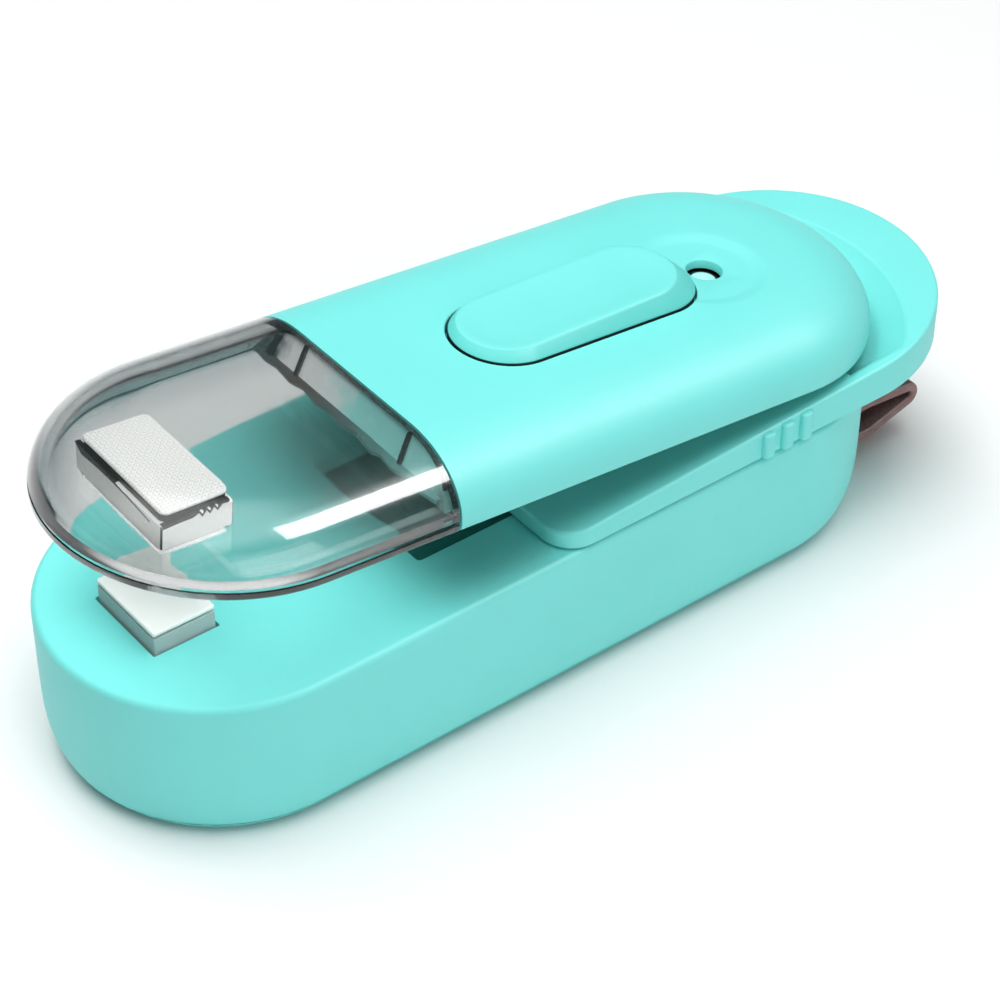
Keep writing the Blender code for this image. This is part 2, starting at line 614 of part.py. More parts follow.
def crown_levels(outline, wall, roof=None, steps=8):
    """Levels of the arm's side and curved crown, set in by the thickness of wall and roof."""
    roof = wall if roof is None else roof
    width, height = ARM_CROWN_W - wall * 0.7, ARM_CROWN_H - roof
    levels = []
    for k in range(steps + 1):
        a = math.radians(90 * k / steps)
        levels.append((outline(wall + width * (1 - math.cos(a))), ARM_SIDE + height * math.sin(a)))
    return levels


def place_on_arm(pivot, *objects):
    """Parent pieces drawn in the arm's level frame to the empty on the hinge axis."""
    for obj in objects:
        obj.parent = pivot
        obj.location = (0, -PIN_Y, -PIN_Z)


def make_arm_shell():
    front = JOINT_Y + GAP / 2

    def outer(inset):
        return rear_half(BODY_R - inset, front, ARM_REAR_Y)

    def inner(inset):
        return rear_half(BODY_R - inset, front - 5 * MM, ARM_REAR_Y)

    levels = [(outer(0.5 * MM), 0.0), (outer(0.1 * MM), 0.3 * MM)] + crown_levels(outer, 0.0)
    shell = loft("arm_shell", levels, "turquoise_plastic")
    hollow = loft("arm_hollow", [(inner(ARM_WALL), -2 * MM)] + crown_levels(inner, ARM_WALL),
                  "turquoise_plastic")
    cut(shell, hollow)
    join(shell, *[turned("arm_boss_%d" % i, [(2.0 * MM, PLATE_Z[1] + GAP), (2.0 * MM, 6.6 * MM)],
                         "Z", (x, y, 0), "turquoise_plastic", 16)
                  for i, (x, y) in enumerate(ARM_SCREWS)])
    pilots = [turned("arm_pilot_%d" % i, [(SCREW_HOLE_R, 0), (SCREW_HOLE_R, 5.6 * MM)], "Z", (x, y, 0),
                     "steel", 16) for i, (x, y) in enumerate(ARM_SCREWS)]
    button_hole = prism("button_hole", stadium(BUTTON_R + GAP, *BUTTON_Y, BUTTON_X), 4 * MM, 10 * MM)
    dish = turned("indicator_dish", [(6.6 * MM, ARM_TOP - 0.5 * MM), (7.6 * MM, ARM_TOP + 0.1 * MM),
                                     (7.6 * MM, ARM_TOP + 2 * MM)], "Z",
                  (LENS_X, LENS_Y - 0.7 * MM, 0), "steel", 32)
    lens_hole = turned("lens_hole", [(LENS_R + GAP, 4 * MM), (LENS_R + GAP, 10 * MM)], "Z",
                       (LENS_X, LENS_Y, 0), "steel", 24)
    cut(shell, *pilots, button_hole, dish, lens_hole)


def make_underplate():
    plate = prism("arm_underplate", rear_half(BODY_R - ARM_WALL - GAP, PLATE_FRONT_Y, ARM_REAR_Y),
                  *PLATE_Z, "dark_plastic")
    barrel = [(PIN_Y - 3.1 * MM, 0.6 * MM), (PIN_Y + 3.1 * MM, 0.6 * MM)]
    barrel += arc(2.9 * MM, (PIN_Y, PIN_Z + 0.1 * MM), 0, 180, 10)
    tongue = side_prism("pin_barrel", barrel, -4.4 * MM, 4.4 * MM, "dark_plastic")
    # Where the spring's upright axis meets the tilted underplate, in the arm's frame.
    cap_y = (SPRING_Y - PLATE_Z[0] * math.sin(ARM_TILT)) / math.cos(ARM_TILT)
    seat = turned("spring_cap", [(2.2 * MM, -0.9 * MM), (2.2 * MM, 0.6 * MM)], "Z",
                  (0, cap_y, 0), "dark_plastic", 20)
    join(plate, tongue, seat)
    slots = [block("ear_slot_%d" % i, sorted((side * 4.5 * MM, side * 7.1 * MM)),
                   (PIN_Y - 4.6 * MM, PIN_Y + 4.6 * MM), (-2 * MM, 4 * MM))
             for i, side in enumerate((1, -1))]
    bore = turned("barrel_bore", [(PIN_HOLE_R, -9 * MM), (PIN_HOLE_R, 9 * MM)], "X",
                  (0, PIN_Y, PIN_Z), "steel", 20)
    holes = [screw_hole("arm_screw_hole_%d" % i, x, y, PLATE_Z[0], 3 * MM)
             for i, (x, y) in enumerate(ARM_SCREWS)]
    cut(plate, *slots, bore, *holes)


def make_bulkhead():
    section = []
    for outline, z in crown_levels(lambda inset: [(BODY_R - inset, 0)], ARM_WALL + GAP):
        section.append((outline[0][0], z))
    foot = PLATE_Z[1] + GAP
    right = [(section[0][0], foot)] + [(x, z) for x, z in section if z > foot + 0.2 * MM]
    outline = right + [(-x, z) for x, z in reversed(right)]
    rings = [[Vector((x, y, z)) for x, z in outline] for y in (-15.9 * MM, -14.9 * MM)]
    bulkhead = bridge("arm_bulkhead", rings, "dark_plastic")
    tabs = [block("tab_%d" % k, ((x - 0.8) * MM, (x + 0.8) * MM), (-19.4 * MM, -15.5 * MM),
                  (3.4 * MM, 5.4 * MM)) for k, x in enumerate((-12, -4, 4, 12))]
    join(bulkhead, *tabs)


def make_nose():
    rear = JOINT_Y - GAP / 2
    lip = 1.0 * MM
    wall = 2.0 * MM

    def outer(inset):
        return front_half(BODY_R - inset, ARM_FRONT_Y, rear)

    def inner(inset):
        return front_half(BODY_R - inset, ARM_FRONT_Y, rear + 5 * MM)

    levels = [(outer(0.0), lip + GAP), (outer(0.0), lip + GAP + 0.05 * MM)]
    crown = [(outline, max(z, lip + GAP + 0.2 * MM)) for outline, z in crown_levels(outer, 0.0)[1:]]
    nose = loft("clear_nose", levels + crown, "clear_plastic")
    hollow = loft("nose_hollow", [(inner(wall), -2 * MM)] + crown_levels(inner, wall, 1.5 * MM),
                  "clear_plastic")
    cut(nose, hollow)
    jaw = loft("jaw_plate", [(outer(0.4 * MM), 0.0), (outer(0.05 * MM), 0.35 * MM),
                             (outer(0.0), lip)], "clear_plastic")
    head_hole = prism("head_hole", rectangle(HEAD_HALF[0] + 1.2 * MM, HEAD_HALF[1] + 1.2 * MM, 0,
                                             HEAD_Y), -2 * MM, 4 * MM)
    cut(jaw, head_hole)


def head_outline(margin, radius=0.0):
    x, y = HEAD_HALF[0] + margin, HEAD_HALF[1] + margin
    if radius:
        return rounded_rectangle(x, y, radius, HEAD_Y)
    return rectangle(x, y, 0, HEAD_Y)


def make_head():
    """Fixed holder and cap, and the sprung core that carries the heater."""
    holder = prism("heater_holder", head_outline(0.9 * MM, 0.9 * MM), -0.2 * MM, 4.1 * MM,
                   "pearl_plastic")
    block_up = prism("holder_block", head_outline(1.5 * MM, 0.4 * MM), 1.3 * MM, 4.1 * MM)
    posts = [prism("holder_post_%d" % i,
                   rectangle(0.35 * MM, 0.35 * MM, sx * (HEAD_HALF[0] + 0.45 * MM),
                             HEAD_Y + sy * (HEAD_HALF[1] + 0.45 * MM)), 3.5 * MM, 4.5 * MM)
             for i, (sx, sy) in enumerate(((1, 1), (1, -1), (-1, 1), (-1, -1)))]
    join(holder, block_up, *posts)
    cut(holder, prism("holder_bore", head_outline(GAP), -2 * MM, 8 * MM))
    prism("heater_cap", head_outline(1.0 * MM, 1.1 * MM), 4.8 * MM, 5.4 * MM, "woven_sheet")
    core = prism("heater_core", head_outline(0.0), -0.6 * MM, 3.2 * MM, "ceramic")
    cut(core, block("element_groove", (-6.6 * MM, 6.6 * MM), (HEAD_Y - 1.1 * MM, HEAD_Y + 1.1 * MM),
                    (-2 * MM, 0.2 * MM)))
    block("heater_element", (-6.3 * MM, 6.3 * MM), (HEAD_Y - 0.8 * MM, HEAD_Y + 0.8 * MM),
          (-0.55 * MM, -0.1 * MM), "steel")
    prism("ptfe_sheet", head_outline(0.0, 0.5 * MM), -1.2 * MM, -0.9 * MM, "woven_sheet")


def make_wave_spring():
    """Flat spring bent into waves, between the core and the cap."""
    waves, low, high, thickness = 3, 3.5 * MM, 4.5 * MM, 0.2 * MM
    half = HEAD_HALF[1] - 0.3 * MM
    centre = []
    for i in range(2 * waves + 1):
        y = HEAD_Y - half + 2 * half * i / (2 * waves)
        centre.append((y, high - thickness / 2 if i % 2 else low + thickness / 2))
    outline = [(y, z - thickness / 2) for y, z in centre]
    outline += [(y, z + thickness / 2) for y, z in reversed(centre)]
    side_prism("heater_spring", outline, -6.5 * MM, 6.5 * MM, "spring_steel")


def make_heater_leads():
    """Flat leads along the inside of the clear wall, from the bulkhead to the holder."""
    middle, half_w = 17.0 * MM, 0.35 * MM
    for name, side in (("heater_lead_left", -1), ("heater_lead_right", 1)):
        end = math.degrees(math.asin((HEAD_Y - ARM_FRONT_Y) / middle))
        outer = arc(middle + half_w, (0, ARM_FRONT_Y), 0, end, 6)
        inner = arc(middle - half_w, (0, ARM_FRONT_Y), 0, end, 6)
        top = HEAD_Y + half_w
        stop = HEAD_HALF[0] + 1.7 * MM + GAP
        points = [(middle + half_w, -16.3 * MM)] + outer[:-1] + [(outer[-1][0], HEAD_Y - half_w)]
        points += [(stop, HEAD_Y - half_w), (stop, top), (inner[-2][0] - 0.2 * MM, top)]
        points += list(reversed(inner[:-2])) + [(middle - half_w, -16.3 * MM)]
        prism(name, [(side * x, y) for x, y in points], 1.3 * MM, 1.6 * MM, "steel")


def make_button():
    def ring(inset, z):
        return [Vector((x, y, z)) for x, y in stadium(BUTTON_R - inset, *BUTTON_Y, BUTTON_X)]

    def rim(inset, drop):
        front, rear = RIM_Y[0] - RIM_R, RIM_Y[1] + RIM_R
        slope = (RIM_RISE[1] - RIM_RISE[0]) / (rear - front)
        return [Vector((x, y, ARM_TOP + RIM_RISE[0] + slope * (y - front) - drop))
                for x, y in stadium(RIM_R - inset, *RIM_Y, RIM_X)]

    rings = [ring(-0.6 * MM, 4.9 * MM), ring(-0.6 * MM, 5.9 * MM), ring(0.0, 5.95 * MM),
             ring(0.0, ARM_TOP + 0.05 * MM), rim(0.0, 0.0), rim(0.6 * MM, 0.0),
             rim(2.2 * MM, 0.25 * MM), rim(4.0 * MM, 0.4 * MM)]
    button = bridge("press_button", rings, "turquoise_plastic")
    cavity = prism("button_cavity", stadium(BUTTON_R - 1.4 * MM, *BUTTON_Y, BUTTON_X), 2 * MM, 7.4 * MM)
    cut(button, cavity)
    join(button, turned("button_post", [(1.4 * MM, 5.7 * MM), (1.4 * MM, 7.8 * MM)], "Z",
                        (BUTTON_X, BUTTON_MID_Y, 0), "turquoise_plastic", 16))
    coil("button_spring", 3.9 * MM, 0.25 * MM, 3.1 * MM, 7.1 * MM, 3, (BUTTON_X, BUTTON_MID_Y, 0),
         "spring_steel")


def make_arm_electrics():
    block("arm_board", (-8.5 * MM, 8.5 * MM), (0.5 * MM, 36 * MM), (1.8 * MM, 2.8 * MM),
          "circuit_board")
    half = 2.3 * MM
    switch = block("tact_switch", (BUTTON_X - half, BUTTON_X + half),
                   (BUTTON_MID_Y - half, BUTTON_MID_Y + half), (3.1 * MM, 4.2 * MM), "dark_plastic")
    join(switch, turned("plunger", [(1.6 * MM, 3.6 * MM), (1.6 * MM, 4.6 * MM)], "Z",
                        (BUTTON_X, BUTTON_MID_Y, 0), "dark_plastic", 16))
    turned("indicator_led", [(1.5 * MM, 3.1 * MM), (1.5 * MM, 4.2 * MM), (1.1 * MM, 4.9 * MM),
                             (0.5 * MM, 5.2 * MM)], "Z", (LENS_X, LENS_Y, 0), "lens_plastic", 20)
    turned("indicator_lens", [(2.0 * MM, 5.5 * MM), (2.0 * MM, 6.0 * MM), (LENS_R, 6.05 * MM),
                              (LENS_R, 6.8 * MM), (LENS_R - 0.4 * MM, 7.0 * MM)], "Z",
           (LENS_X, LENS_Y, 0), "lens_plastic", 24)


def make_arm():
    pivot = bpy.data.objects.new("arm_pivot", None)
    pivot.location = (0, *PIN_WORLD)
    pivot.rotation_euler = (-ARM_TILT, 0, 0)
    bpy.context.collection.objects.link(pivot)
    before = set(bpy.data.objects)
    make_arm_shell()
    make_underplate()
    make_bulkhead()
    make_nose()
    make_head()
    make_wave_spring()
    make_heater_leads()
    make_button()
    make_arm_electrics()
    for i, (x, y) in enumerate(ARM_SCREWS):
        countersunk_screw("arm_screw_%d" % (i + 1), x, y, PLATE_Z[0], 5.0 * MM)
    place_on_arm(pivot, *[obj for obj in bpy.data.objects if obj not in before])


def make_base():
    make_base_shell()
    make_bottom_cover()
    make_battery_door()
    make_cell("battery_left", -CELL_X, CELL_LEFT_Y, True)
    make_cell("battery_right", CELL_X, CELL_RIGHT_Y, False)
    make_contacts()
    make_anvil()
    make_hinge()
    make_switch()
    make_strap()
    make_base_electrics()
    for i, (x, y) in enumerate(COVER_SCREWS):
        countersunk_screw("cover_screw_%d" % (i + 1), x, y, 0.0, 9 * MM)
    for i, (x, y) in enumerate(FRAME_SCREWS):
        pan_screw("frame_screw_%d" % (i + 1), x, y, FRAME_Z[0], DECK_Z - 0.8 * MM)
    for i, (x, y) in enumerate(ANVIL_SCREWS):
        pan_screw("anvil_screw_%d" % (i + 1), x, y, FRAME_Z[0], DECK_Z - 0.8 * MM)


clear_scene()
make_base()
make_slide()
make_arm()
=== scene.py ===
import json
import math

import bmesh
import bpy
from mathutils import Matrix, Vector


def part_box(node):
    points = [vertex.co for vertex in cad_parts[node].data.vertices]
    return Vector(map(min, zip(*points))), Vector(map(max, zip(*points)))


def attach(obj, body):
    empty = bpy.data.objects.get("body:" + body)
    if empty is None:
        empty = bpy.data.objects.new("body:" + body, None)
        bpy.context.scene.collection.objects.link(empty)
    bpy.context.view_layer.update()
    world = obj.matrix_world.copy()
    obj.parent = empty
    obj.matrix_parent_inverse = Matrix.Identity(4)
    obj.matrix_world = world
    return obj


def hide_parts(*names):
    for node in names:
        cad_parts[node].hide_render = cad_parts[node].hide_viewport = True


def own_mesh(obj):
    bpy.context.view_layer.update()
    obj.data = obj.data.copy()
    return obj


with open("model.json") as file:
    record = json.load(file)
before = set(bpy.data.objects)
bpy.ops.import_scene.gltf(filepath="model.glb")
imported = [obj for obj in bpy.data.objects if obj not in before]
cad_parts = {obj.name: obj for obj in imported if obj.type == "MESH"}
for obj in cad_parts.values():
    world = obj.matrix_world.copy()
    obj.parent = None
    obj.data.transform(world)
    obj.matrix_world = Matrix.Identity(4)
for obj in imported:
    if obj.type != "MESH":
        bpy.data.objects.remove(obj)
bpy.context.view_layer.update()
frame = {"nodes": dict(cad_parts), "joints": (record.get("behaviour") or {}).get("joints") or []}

MM = 0.001
GAP = 0.3 * MM                       # clearance between touching pieces
ARC_STEPS = 40                       # points of each round end
SHARP = math.radians(38)

# ---------------------------------------------------------------- places, from the frame

JOINTS = {joint["name"]: joint for joint in frame["joints"]}
ARM_UP = Vector(JOINTS["heater_float"]["axis"])
PIN = Vector(JOINTS["arm_hinge"]["pos_m"])
PIN_LEVEL = Vector((0, 44.2 * MM, 2.4 * MM))         # the hinge pin in the arm's level frame
RIGHT = Vector((1, 0, 0))
ARM = (Matrix.Translation(PIN)
       @ Matrix((RIGHT, ARM_UP.cross(RIGHT), ARM_UP)).transposed().to_4x4()
       @ Matrix.Translation(-PIN_LEVEL))


def middle_of(node):
    return sum(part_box(node), Vector()) / 2


def level_box(node):
    """Lowest and highest corner of an arm's node, in the arm's level frame."""
    back = ARM.inverted()
    points = [back @ vertex.co for vertex in frame["nodes"][node].data.vertices]
    return [Vector(pick(point[axis] for point in points) for axis in range(3))
            for pick in (min, max)]


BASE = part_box("base_shell")
RADIUS = BASE[1].x                   # half the width of base, slide and arm
DECK = BASE[1].z
BASE_END = BASE[1].y - RADIUS        # centre of the base's round ends
SEAM = BASE[0].z
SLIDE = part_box("lock_slide")
SHELL = level_box("arm_shell")
NOSE = level_box("clear_nose")
JAW = level_box("jaw_plate")
ARM_FRONT = NOSE[0].y + RADIUS       # centres of the arm's round ends
ARM_REAR = SHELL[1].y - RADIUS
ARM_TOP = SHELL[1].z - 0.015 * MM    # the finer crown's highest point still meets the CAD box
ARM_SIDE = 0.83 * MM                 # upright part of the arm's side
CROWN_W = 9.7 * MM
CROWN_H = ARM_TOP - ARM_SIDE


# ---------------------------------------------------------------- camera, floor and light

def make_camera():
    place = Vector((208.19, -156.91, 229.48)) * MM
    target = Vector((0, 5.91, 10.1)) * MM
    roll = math.radians(0.35)
    ahead = (target - place).normalized()
    right = ahead.cross(Vector((0, 0, 1))).normalized()
    up = right.cross(ahead)
    right, up = (right * math.cos(roll) + up * math.sin(roll),
                 up * math.cos(roll) - right * math.sin(roll))
    data = bpy.data.cameras.new("camera")
    data.sensor_width = 36.0
    data.lens = 106.49
    data.shift_x, data.shift_y = -0.009, 0.0047
    data.clip_start, data.clip_end = 0.02, 50.0
    camera = bpy.data.objects.new("camera", data)
    camera.matrix_world = Matrix.Translation(place) @ Matrix((right, up, -ahead)).transposed().to_4x4()
    bpy.context.collection.objects.link(camera)
    bpy.context.scene.camera = camera


def softbox(name, place, target, size, power):
    data = bpy.data.lights.new(name, "AREA")
    data.shape = "RECTANGLE"
    data.size, data.size_y = size
    data.energy = power
    light = bpy.data.objects.new(name, data)
    light.location = place
    light.rotation_euler = (Vector(target) - Vector(place)).to_track_quat("-Z", "Y").to_euler()
    bpy.context.collection.objects.link(light)
    return light


def make_lights():
    """Two soft lights from above, one from the side, and one that only shows as the nose's streak."""
    middle, square = (0, 0, 0.02), (0.45, 0.45)
    for key in (softbox("key", (0.06, -0.06, 0.68), middle, square, 2.85),
                softbox("far_key", (-0.34, -0.06, 0.60), middle, square, 1.5)):
        key.visible_glossy = key.visible_transmission = False
    softbox("side", (0.62, 0.02, 0.28), middle, (0.6, 0.4), 1.15)
    place, lit = Vector((0.205, 0.27, 0.415)), Vector((0.017, -0.026, 0.038))
    streak = softbox("streak", place, lit, (0.34, 0.17), 2.2)
    streak.visible_diffuse = streak.visible_transmission = False
    back = (place - lit).normalized()
    along = (Vector((0, 1, 0)) - back * back.y).normalized()
    streak.rotation_euler = Matrix((along, back.cross(along), back)).transposed().to_euler()


def make_sky():
    """Dim all round, bright straight above."""
    world = bpy.data.worlds.new("studio")
    world.use_nodes = True
    tree = world.node_tree
    height = add_node(tree, "SeparateXYZ", {"Vector": add_node(tree, "TexCoord").outputs["Generated"]})
    sky = ramp(tree, height.outputs["Z"], [(0.0, (0.05, 0.06, 0.06)), (0.5, (0.07, 0.08, 0.08)),
                                           (0.80, (0.08, 0.09, 0.09)), (0.92, (1.1, 1.1, 1.1))])
    tree.links.new(sky, tree.nodes["Background"].inputs["Color"])
    bpy.context.scene.world = world
    bpy.context.scene.view_settings.view_transform = "Standard"


def make_floor():
    mesh_edit = bmesh.new()
    bmesh.ops.create_circle(mesh_edit, cap_ends=True, segments=64, radius=6.0)
    floor = piece_from(mesh_edit, "floor")
    floor.location.z = -0.02 * MM
    paper, _, feed = blank("floor_paper")
    feed(Base_Color=(0.9, 0.9, 0.9, 1), Roughness=0.7)
    floor.data.materials.append(paper)


# ---------------------------------------------------------------- materials

def add_node(tree, kind, inputs=None, **settings):
    made = tree.nodes.new("ShaderNode" + kind)
    for key, value in settings.items():
        setattr(made, key, value)
    for key, value in (inputs or {}).items():
        if isinstance(value, bpy.types.NodeSocket):
            tree.links.new(value, made.inputs[key])
        else:
            made.inputs[key].default_value = value
    return made


def own_place(tree):
    """X, Y and Z of a spot, in the object's own metres."""
    return add_node(tree, "SeparateXYZ", {"Vector": add_node(tree, "TexCoord").outputs["Object"]}
                    ).outputs


def noise(tree, scale, detail=3.0, stretch=None):
    """Noise in the object's own metres, scale being features per metre."""
    place = add_node(tree, "TexCoord").outputs["Object"]
    if stretch:
        place = add_node(tree, "Mapping", {"Vector": place, "Scale": stretch}).outputs["Vector"]
    return add_node(tree, "TexNoise", {"Vector": place, "Scale": scale, "Detail": detail}
                    ).outputs["Fac"]


def remap(tree, value, low, high, start=0.3, end=0.7):
    return add_node(tree, "MapRange", {"Value": value, "From Min": start, "From Max": end,
                                       "To Min": low, "To Max": high}).outputs["Result"]


def ramp(tree, value, stops):
    made = add_node(tree, "ValToRGB", {"Fac": value})
    elements = made.color_ramp.elements
    while len(elements) < len(stops):
        elements.new(1.0)
    for element, (position, colour) in zip(elements, stops):
        element.position = position
        element.color = (*colour, 1)
    return made.outputs["Color"]


def bump(tree, height, depth, strength=1.0):
    return add_node(tree, "Bump", {"Height": height, "Distance": depth, "Strength": strength}
                    ).outputs["Normal"]


def maths(tree, operation, *values):
    made = add_node(tree, "Math", operation=operation)
    for socket, value in zip(made.inputs, values):
        if isinstance(value, bpy.types.NodeSocket):
            tree.links.new(value, socket)
        else:
            socket.default_value = value
    return made.outputs["Value"]


def blank(name):
    """A new material, its node tree and a function that sets its shader's inputs."""
    made = bpy.data.materials.new(name)
    made.use_nodes = True
    tree = made.node_tree
    shader = tree.nodes["Principled BSDF"]

    def feed(**values):
        for key, value in values.items():
            socket = shader.inputs[key.replace("_", " ")]
            if isinstance(value, bpy.types.NodeSocket):
                tree.links.new(value, socket)
            else:
                socket.default_value = value
    return made, tree, feed


def moulded(name, light, dark, rough, blotch=60.0, grain=2500.0, depth=0.004, **fixed):
    """Moulded plastic: faint clouds in its colour, a fine grain in its gloss and surface."""
    made, tree, feed = blank(name)
    clouds = noise(tree, blotch)
    grains = noise(tree, grain, 2.0)
    feed(Base_Color=ramp(tree, clouds, [(0.3, dark), (0.7, light)]),
         Roughness=remap(tree, grains, *rough), Normal=bump(tree, grains, depth * MM), **fixed)
    return made


def painted_light_bands(name, stops):
    """Painted reflection and shade: a moulding tone that changes from the far side to the near side,
    with cloudy borders.
    """
    made, tree, feed = blank(name)
    place = own_place(tree)
    share = maths(tree, "MULTIPLY_ADD", place["X"], 1 / (40 * MM), 0.5)
    clouds = noise(tree, 350.0)
    wander = maths(tree, "MULTIPLY_ADD", maths(tree, "SUBTRACT", clouds, 0.5), 0.18, share)
    feed(Base_Color=ramp(tree, wander, stops),
         Roughness=remap(tree, clouds, 0.15, 0.3), Normal=bump(tree, clouds, 0.05 * MM),
         Coat_Weight=0.5)
    return made


def brushed(name, light, dark, rough, stretch):
    """Drawn or rolled metal with fine lines along one direction."""
    made, tree, feed = blank(name)
    lines = noise(tree, 900.0, 4.0, stretch)
    feed(Base_Color=ramp(tree, lines, [(0.3, dark), (0.7, light)]), Metallic=1.0,
         Roughness=remap(tree, lines, *rough), Normal=bump(tree, lines, 0.006 * MM))
    return made


def clear_plastic(name):
    """Slightly smoky clear plastic, with painted shade that darkens it along the nose's far side, its
    tip and its outer edge near the tip.

    Lamps shine through it more easily than the eye looks through it, so the deck below stays light.
    """
    made, tree, feed = blank(name)
    haze = noise(tree, 120.0)
    place = own_place(tree)
    # Painted shade: the far side, the tip and the outer edge near the tip take a darker tint, standing
    # in for the dark refraction and reflection in the nose's walls.
    across = maths(tree, "DIVIDE", place["X"], -20 * MM)
    ahead = maths(tree, "DIVIDE", maths(tree, "ADD", place["Y"], 33 * MM), -20 * MM)
    tip = maths(tree, "MULTIPLY_ADD", ahead, 0.83, maths(tree, "MULTIPLY", across, 0.55))
    radius = maths(tree, "SQRT", maths(tree, "ADD", maths(tree, "MULTIPLY", across, across),
                                       maths(tree, "MULTIPLY", ahead, ahead)))
    rim = maths(tree, "MULTIPLY", remap(tree, radius, 0.0, 1.0, 0.90, 0.97),
                remap(tree, tip, 0.0, 1.0, 0.45, 0.75))
    edge = maths(tree, "MAXIMUM", maths(tree, "MAXIMUM", tip, maths(tree, "ADD", across, 0.05)), rim)
    painted_shade_tint = ramp(tree, edge, [(0.65, (0.985, 0.98, 0.975)), (0.90, (0.72, 0.76, 0.77)),
                             (1.0, (0.16, 0.27, 0.28))])
    feed(Base_Color=painted_shade_tint, Roughness=remap(tree, haze, 0.03, 0.06), Transmission_Weight=1.0,
         IOR=1.47, Coat_Weight=1.0, Coat_Roughness=0.16, Coat_IOR=1.5)
    through = add_node(tree, "BsdfTransparent", {"Color": (0.97, 0.98, 0.98, 1)})
    seen, lit = [add_node(tree, "VolumeAbsorption", {"Color": (0.30, 0.37, 0.37, 1), "Density": density})
                 for density in (115.0, 25.0)]
    shader = tree.nodes["Principled BSDF"]
    shadow = add_node(tree, "LightPath").outputs["Is Shadow Ray"]
    for use, first, second in (("Surface", shader, through), ("Volume", seen, lit)):
        mix = add_node(tree, "MixShader", {"Fac": shadow, 1: first.outputs[0], 2: second.outputs[0]})
        tree.links.new(mix.outputs["Shader"], tree.nodes["Material Output"].inputs[use])
    return made


def woven(name, light, dark):
    """Plain weave of flat glass threads with a thin coating."""
    made, tree, feed = blank(name)
    place = own_place(tree)
    pitch = 0.42 * MM
    turns = math.tau / (2 * pitch)
    across = maths(tree, "SINE", maths(tree, "MULTIPLY", place["X"], turns))
    along = maths(tree, "SINE", maths(tree, "MULTIPLY", place["Y"], turns))
    over = maths(tree, "MULTIPLY", across, along)
    thread = maths(tree, "MAXIMUM", maths(tree, "ABSOLUTE", across),
                   maths(tree, "ABSOLUTE", along))
    height = maths(tree, "MULTIPLY_ADD", over, 0.35, thread)
    fibre = noise(tree, 5000.0, 2.0)
    feed(Base_Color=ramp(tree, maths(tree, "MULTIPLY_ADD", fibre, 0.3, height),
                         [(0.35, dark), (0.95, light)]),
         Roughness=remap(tree, fibre, 0.5, 0.7),
         Normal=bump(tree, height, 0.05 * MM, 0.8), Sheen_Weight=0.2)
    return made


def leather(name, light, dark):
    """Leather-like band: pebbled grain with creases and uneven colour."""
    made, tree, feed = blank(name)
    place = add_node(tree, "TexCoord").outputs["Object"]
    pebbles = add_node(tree, "TexVoronoi", {"Vector": place, "Scale": 1500.0},
                       feature="DISTANCE_TO_EDGE").outputs["Distance"]
    clouds = noise(tree, 300.0, 5.0)
    height = maths(tree, "MINIMUM", maths(tree, "MULTIPLY", pebbles, 4.0), 1.0)
    feed(Base_Color=ramp(tree, maths(tree, "MULTIPLY_ADD", height, 0.25, clouds),
                         [(0.4, dark), (0.9, light)]),
         Roughness=remap(tree, clouds, 0.5, 0.72), Normal=bump(tree, height, 0.05 * MM, 0.7),
         Sheen_Weight=0.15)
    return made


def circuit_board(name):
    """Green solder mask over a grid of copper lines."""
    made, tree, feed = blank(name)
    place = add_node(tree, "TexCoord").outputs["Object"]
    lines = add_node(tree, "TexBrick", {"Vector": place, "Scale": 350.0, "Mortar Size": 0.06,
                                        "Color1": (0, 0, 0, 1), "Color2": (0.1, 0.1, 0.1, 1),
                                        "Mortar": (1, 1, 1, 1)}).outputs["Color"]
    feed(Base_Color=ramp(tree, lines, [(0.1, (0.012, 0.13, 0.05)), (0.6, (0.05, 0.30, 0.12))]),
         Roughness=remap(tree, noise(tree, 1500.0), 0.25, 0.4),
         Normal=bump(tree, lines, 0.03 * MM), Coat_Weight=0.4)
    return made


def cell_jacket(name):
    """Printed sleeve of a cell: dark with a coloured band towards one end, bare metal at the tips."""
    made, tree, feed = blank(name)
    place = own_place(tree)
    low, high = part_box("battery_left")
    share = maths(tree, "MULTIPLY_ADD", maths(tree, "SUBTRACT", place["Y"], (low.y + high.y) / 2),
                  1 / (51 * MM), 0.5)
    steel, band, sleeve = (0.55, 0.55, 0.54), (0.62, 0.42, 0.10), (0.035, 0.04, 0.05)
    colour = ramp(tree, share, [(0.0, steel), (0.03, steel), (0.035, sleeve), (0.66, sleeve),
                                (0.67, band), (0.95, band), (0.96, steel)])
    scuffs = noise(tree, 800.0, 4.0)
    feed(Base_Color=colour, Roughness=remap(tree, scuffs, 0.22, 0.4),
         Normal=bump(tree, scuffs, 0.003 * MM), Coat_Weight=0.3)
    return made


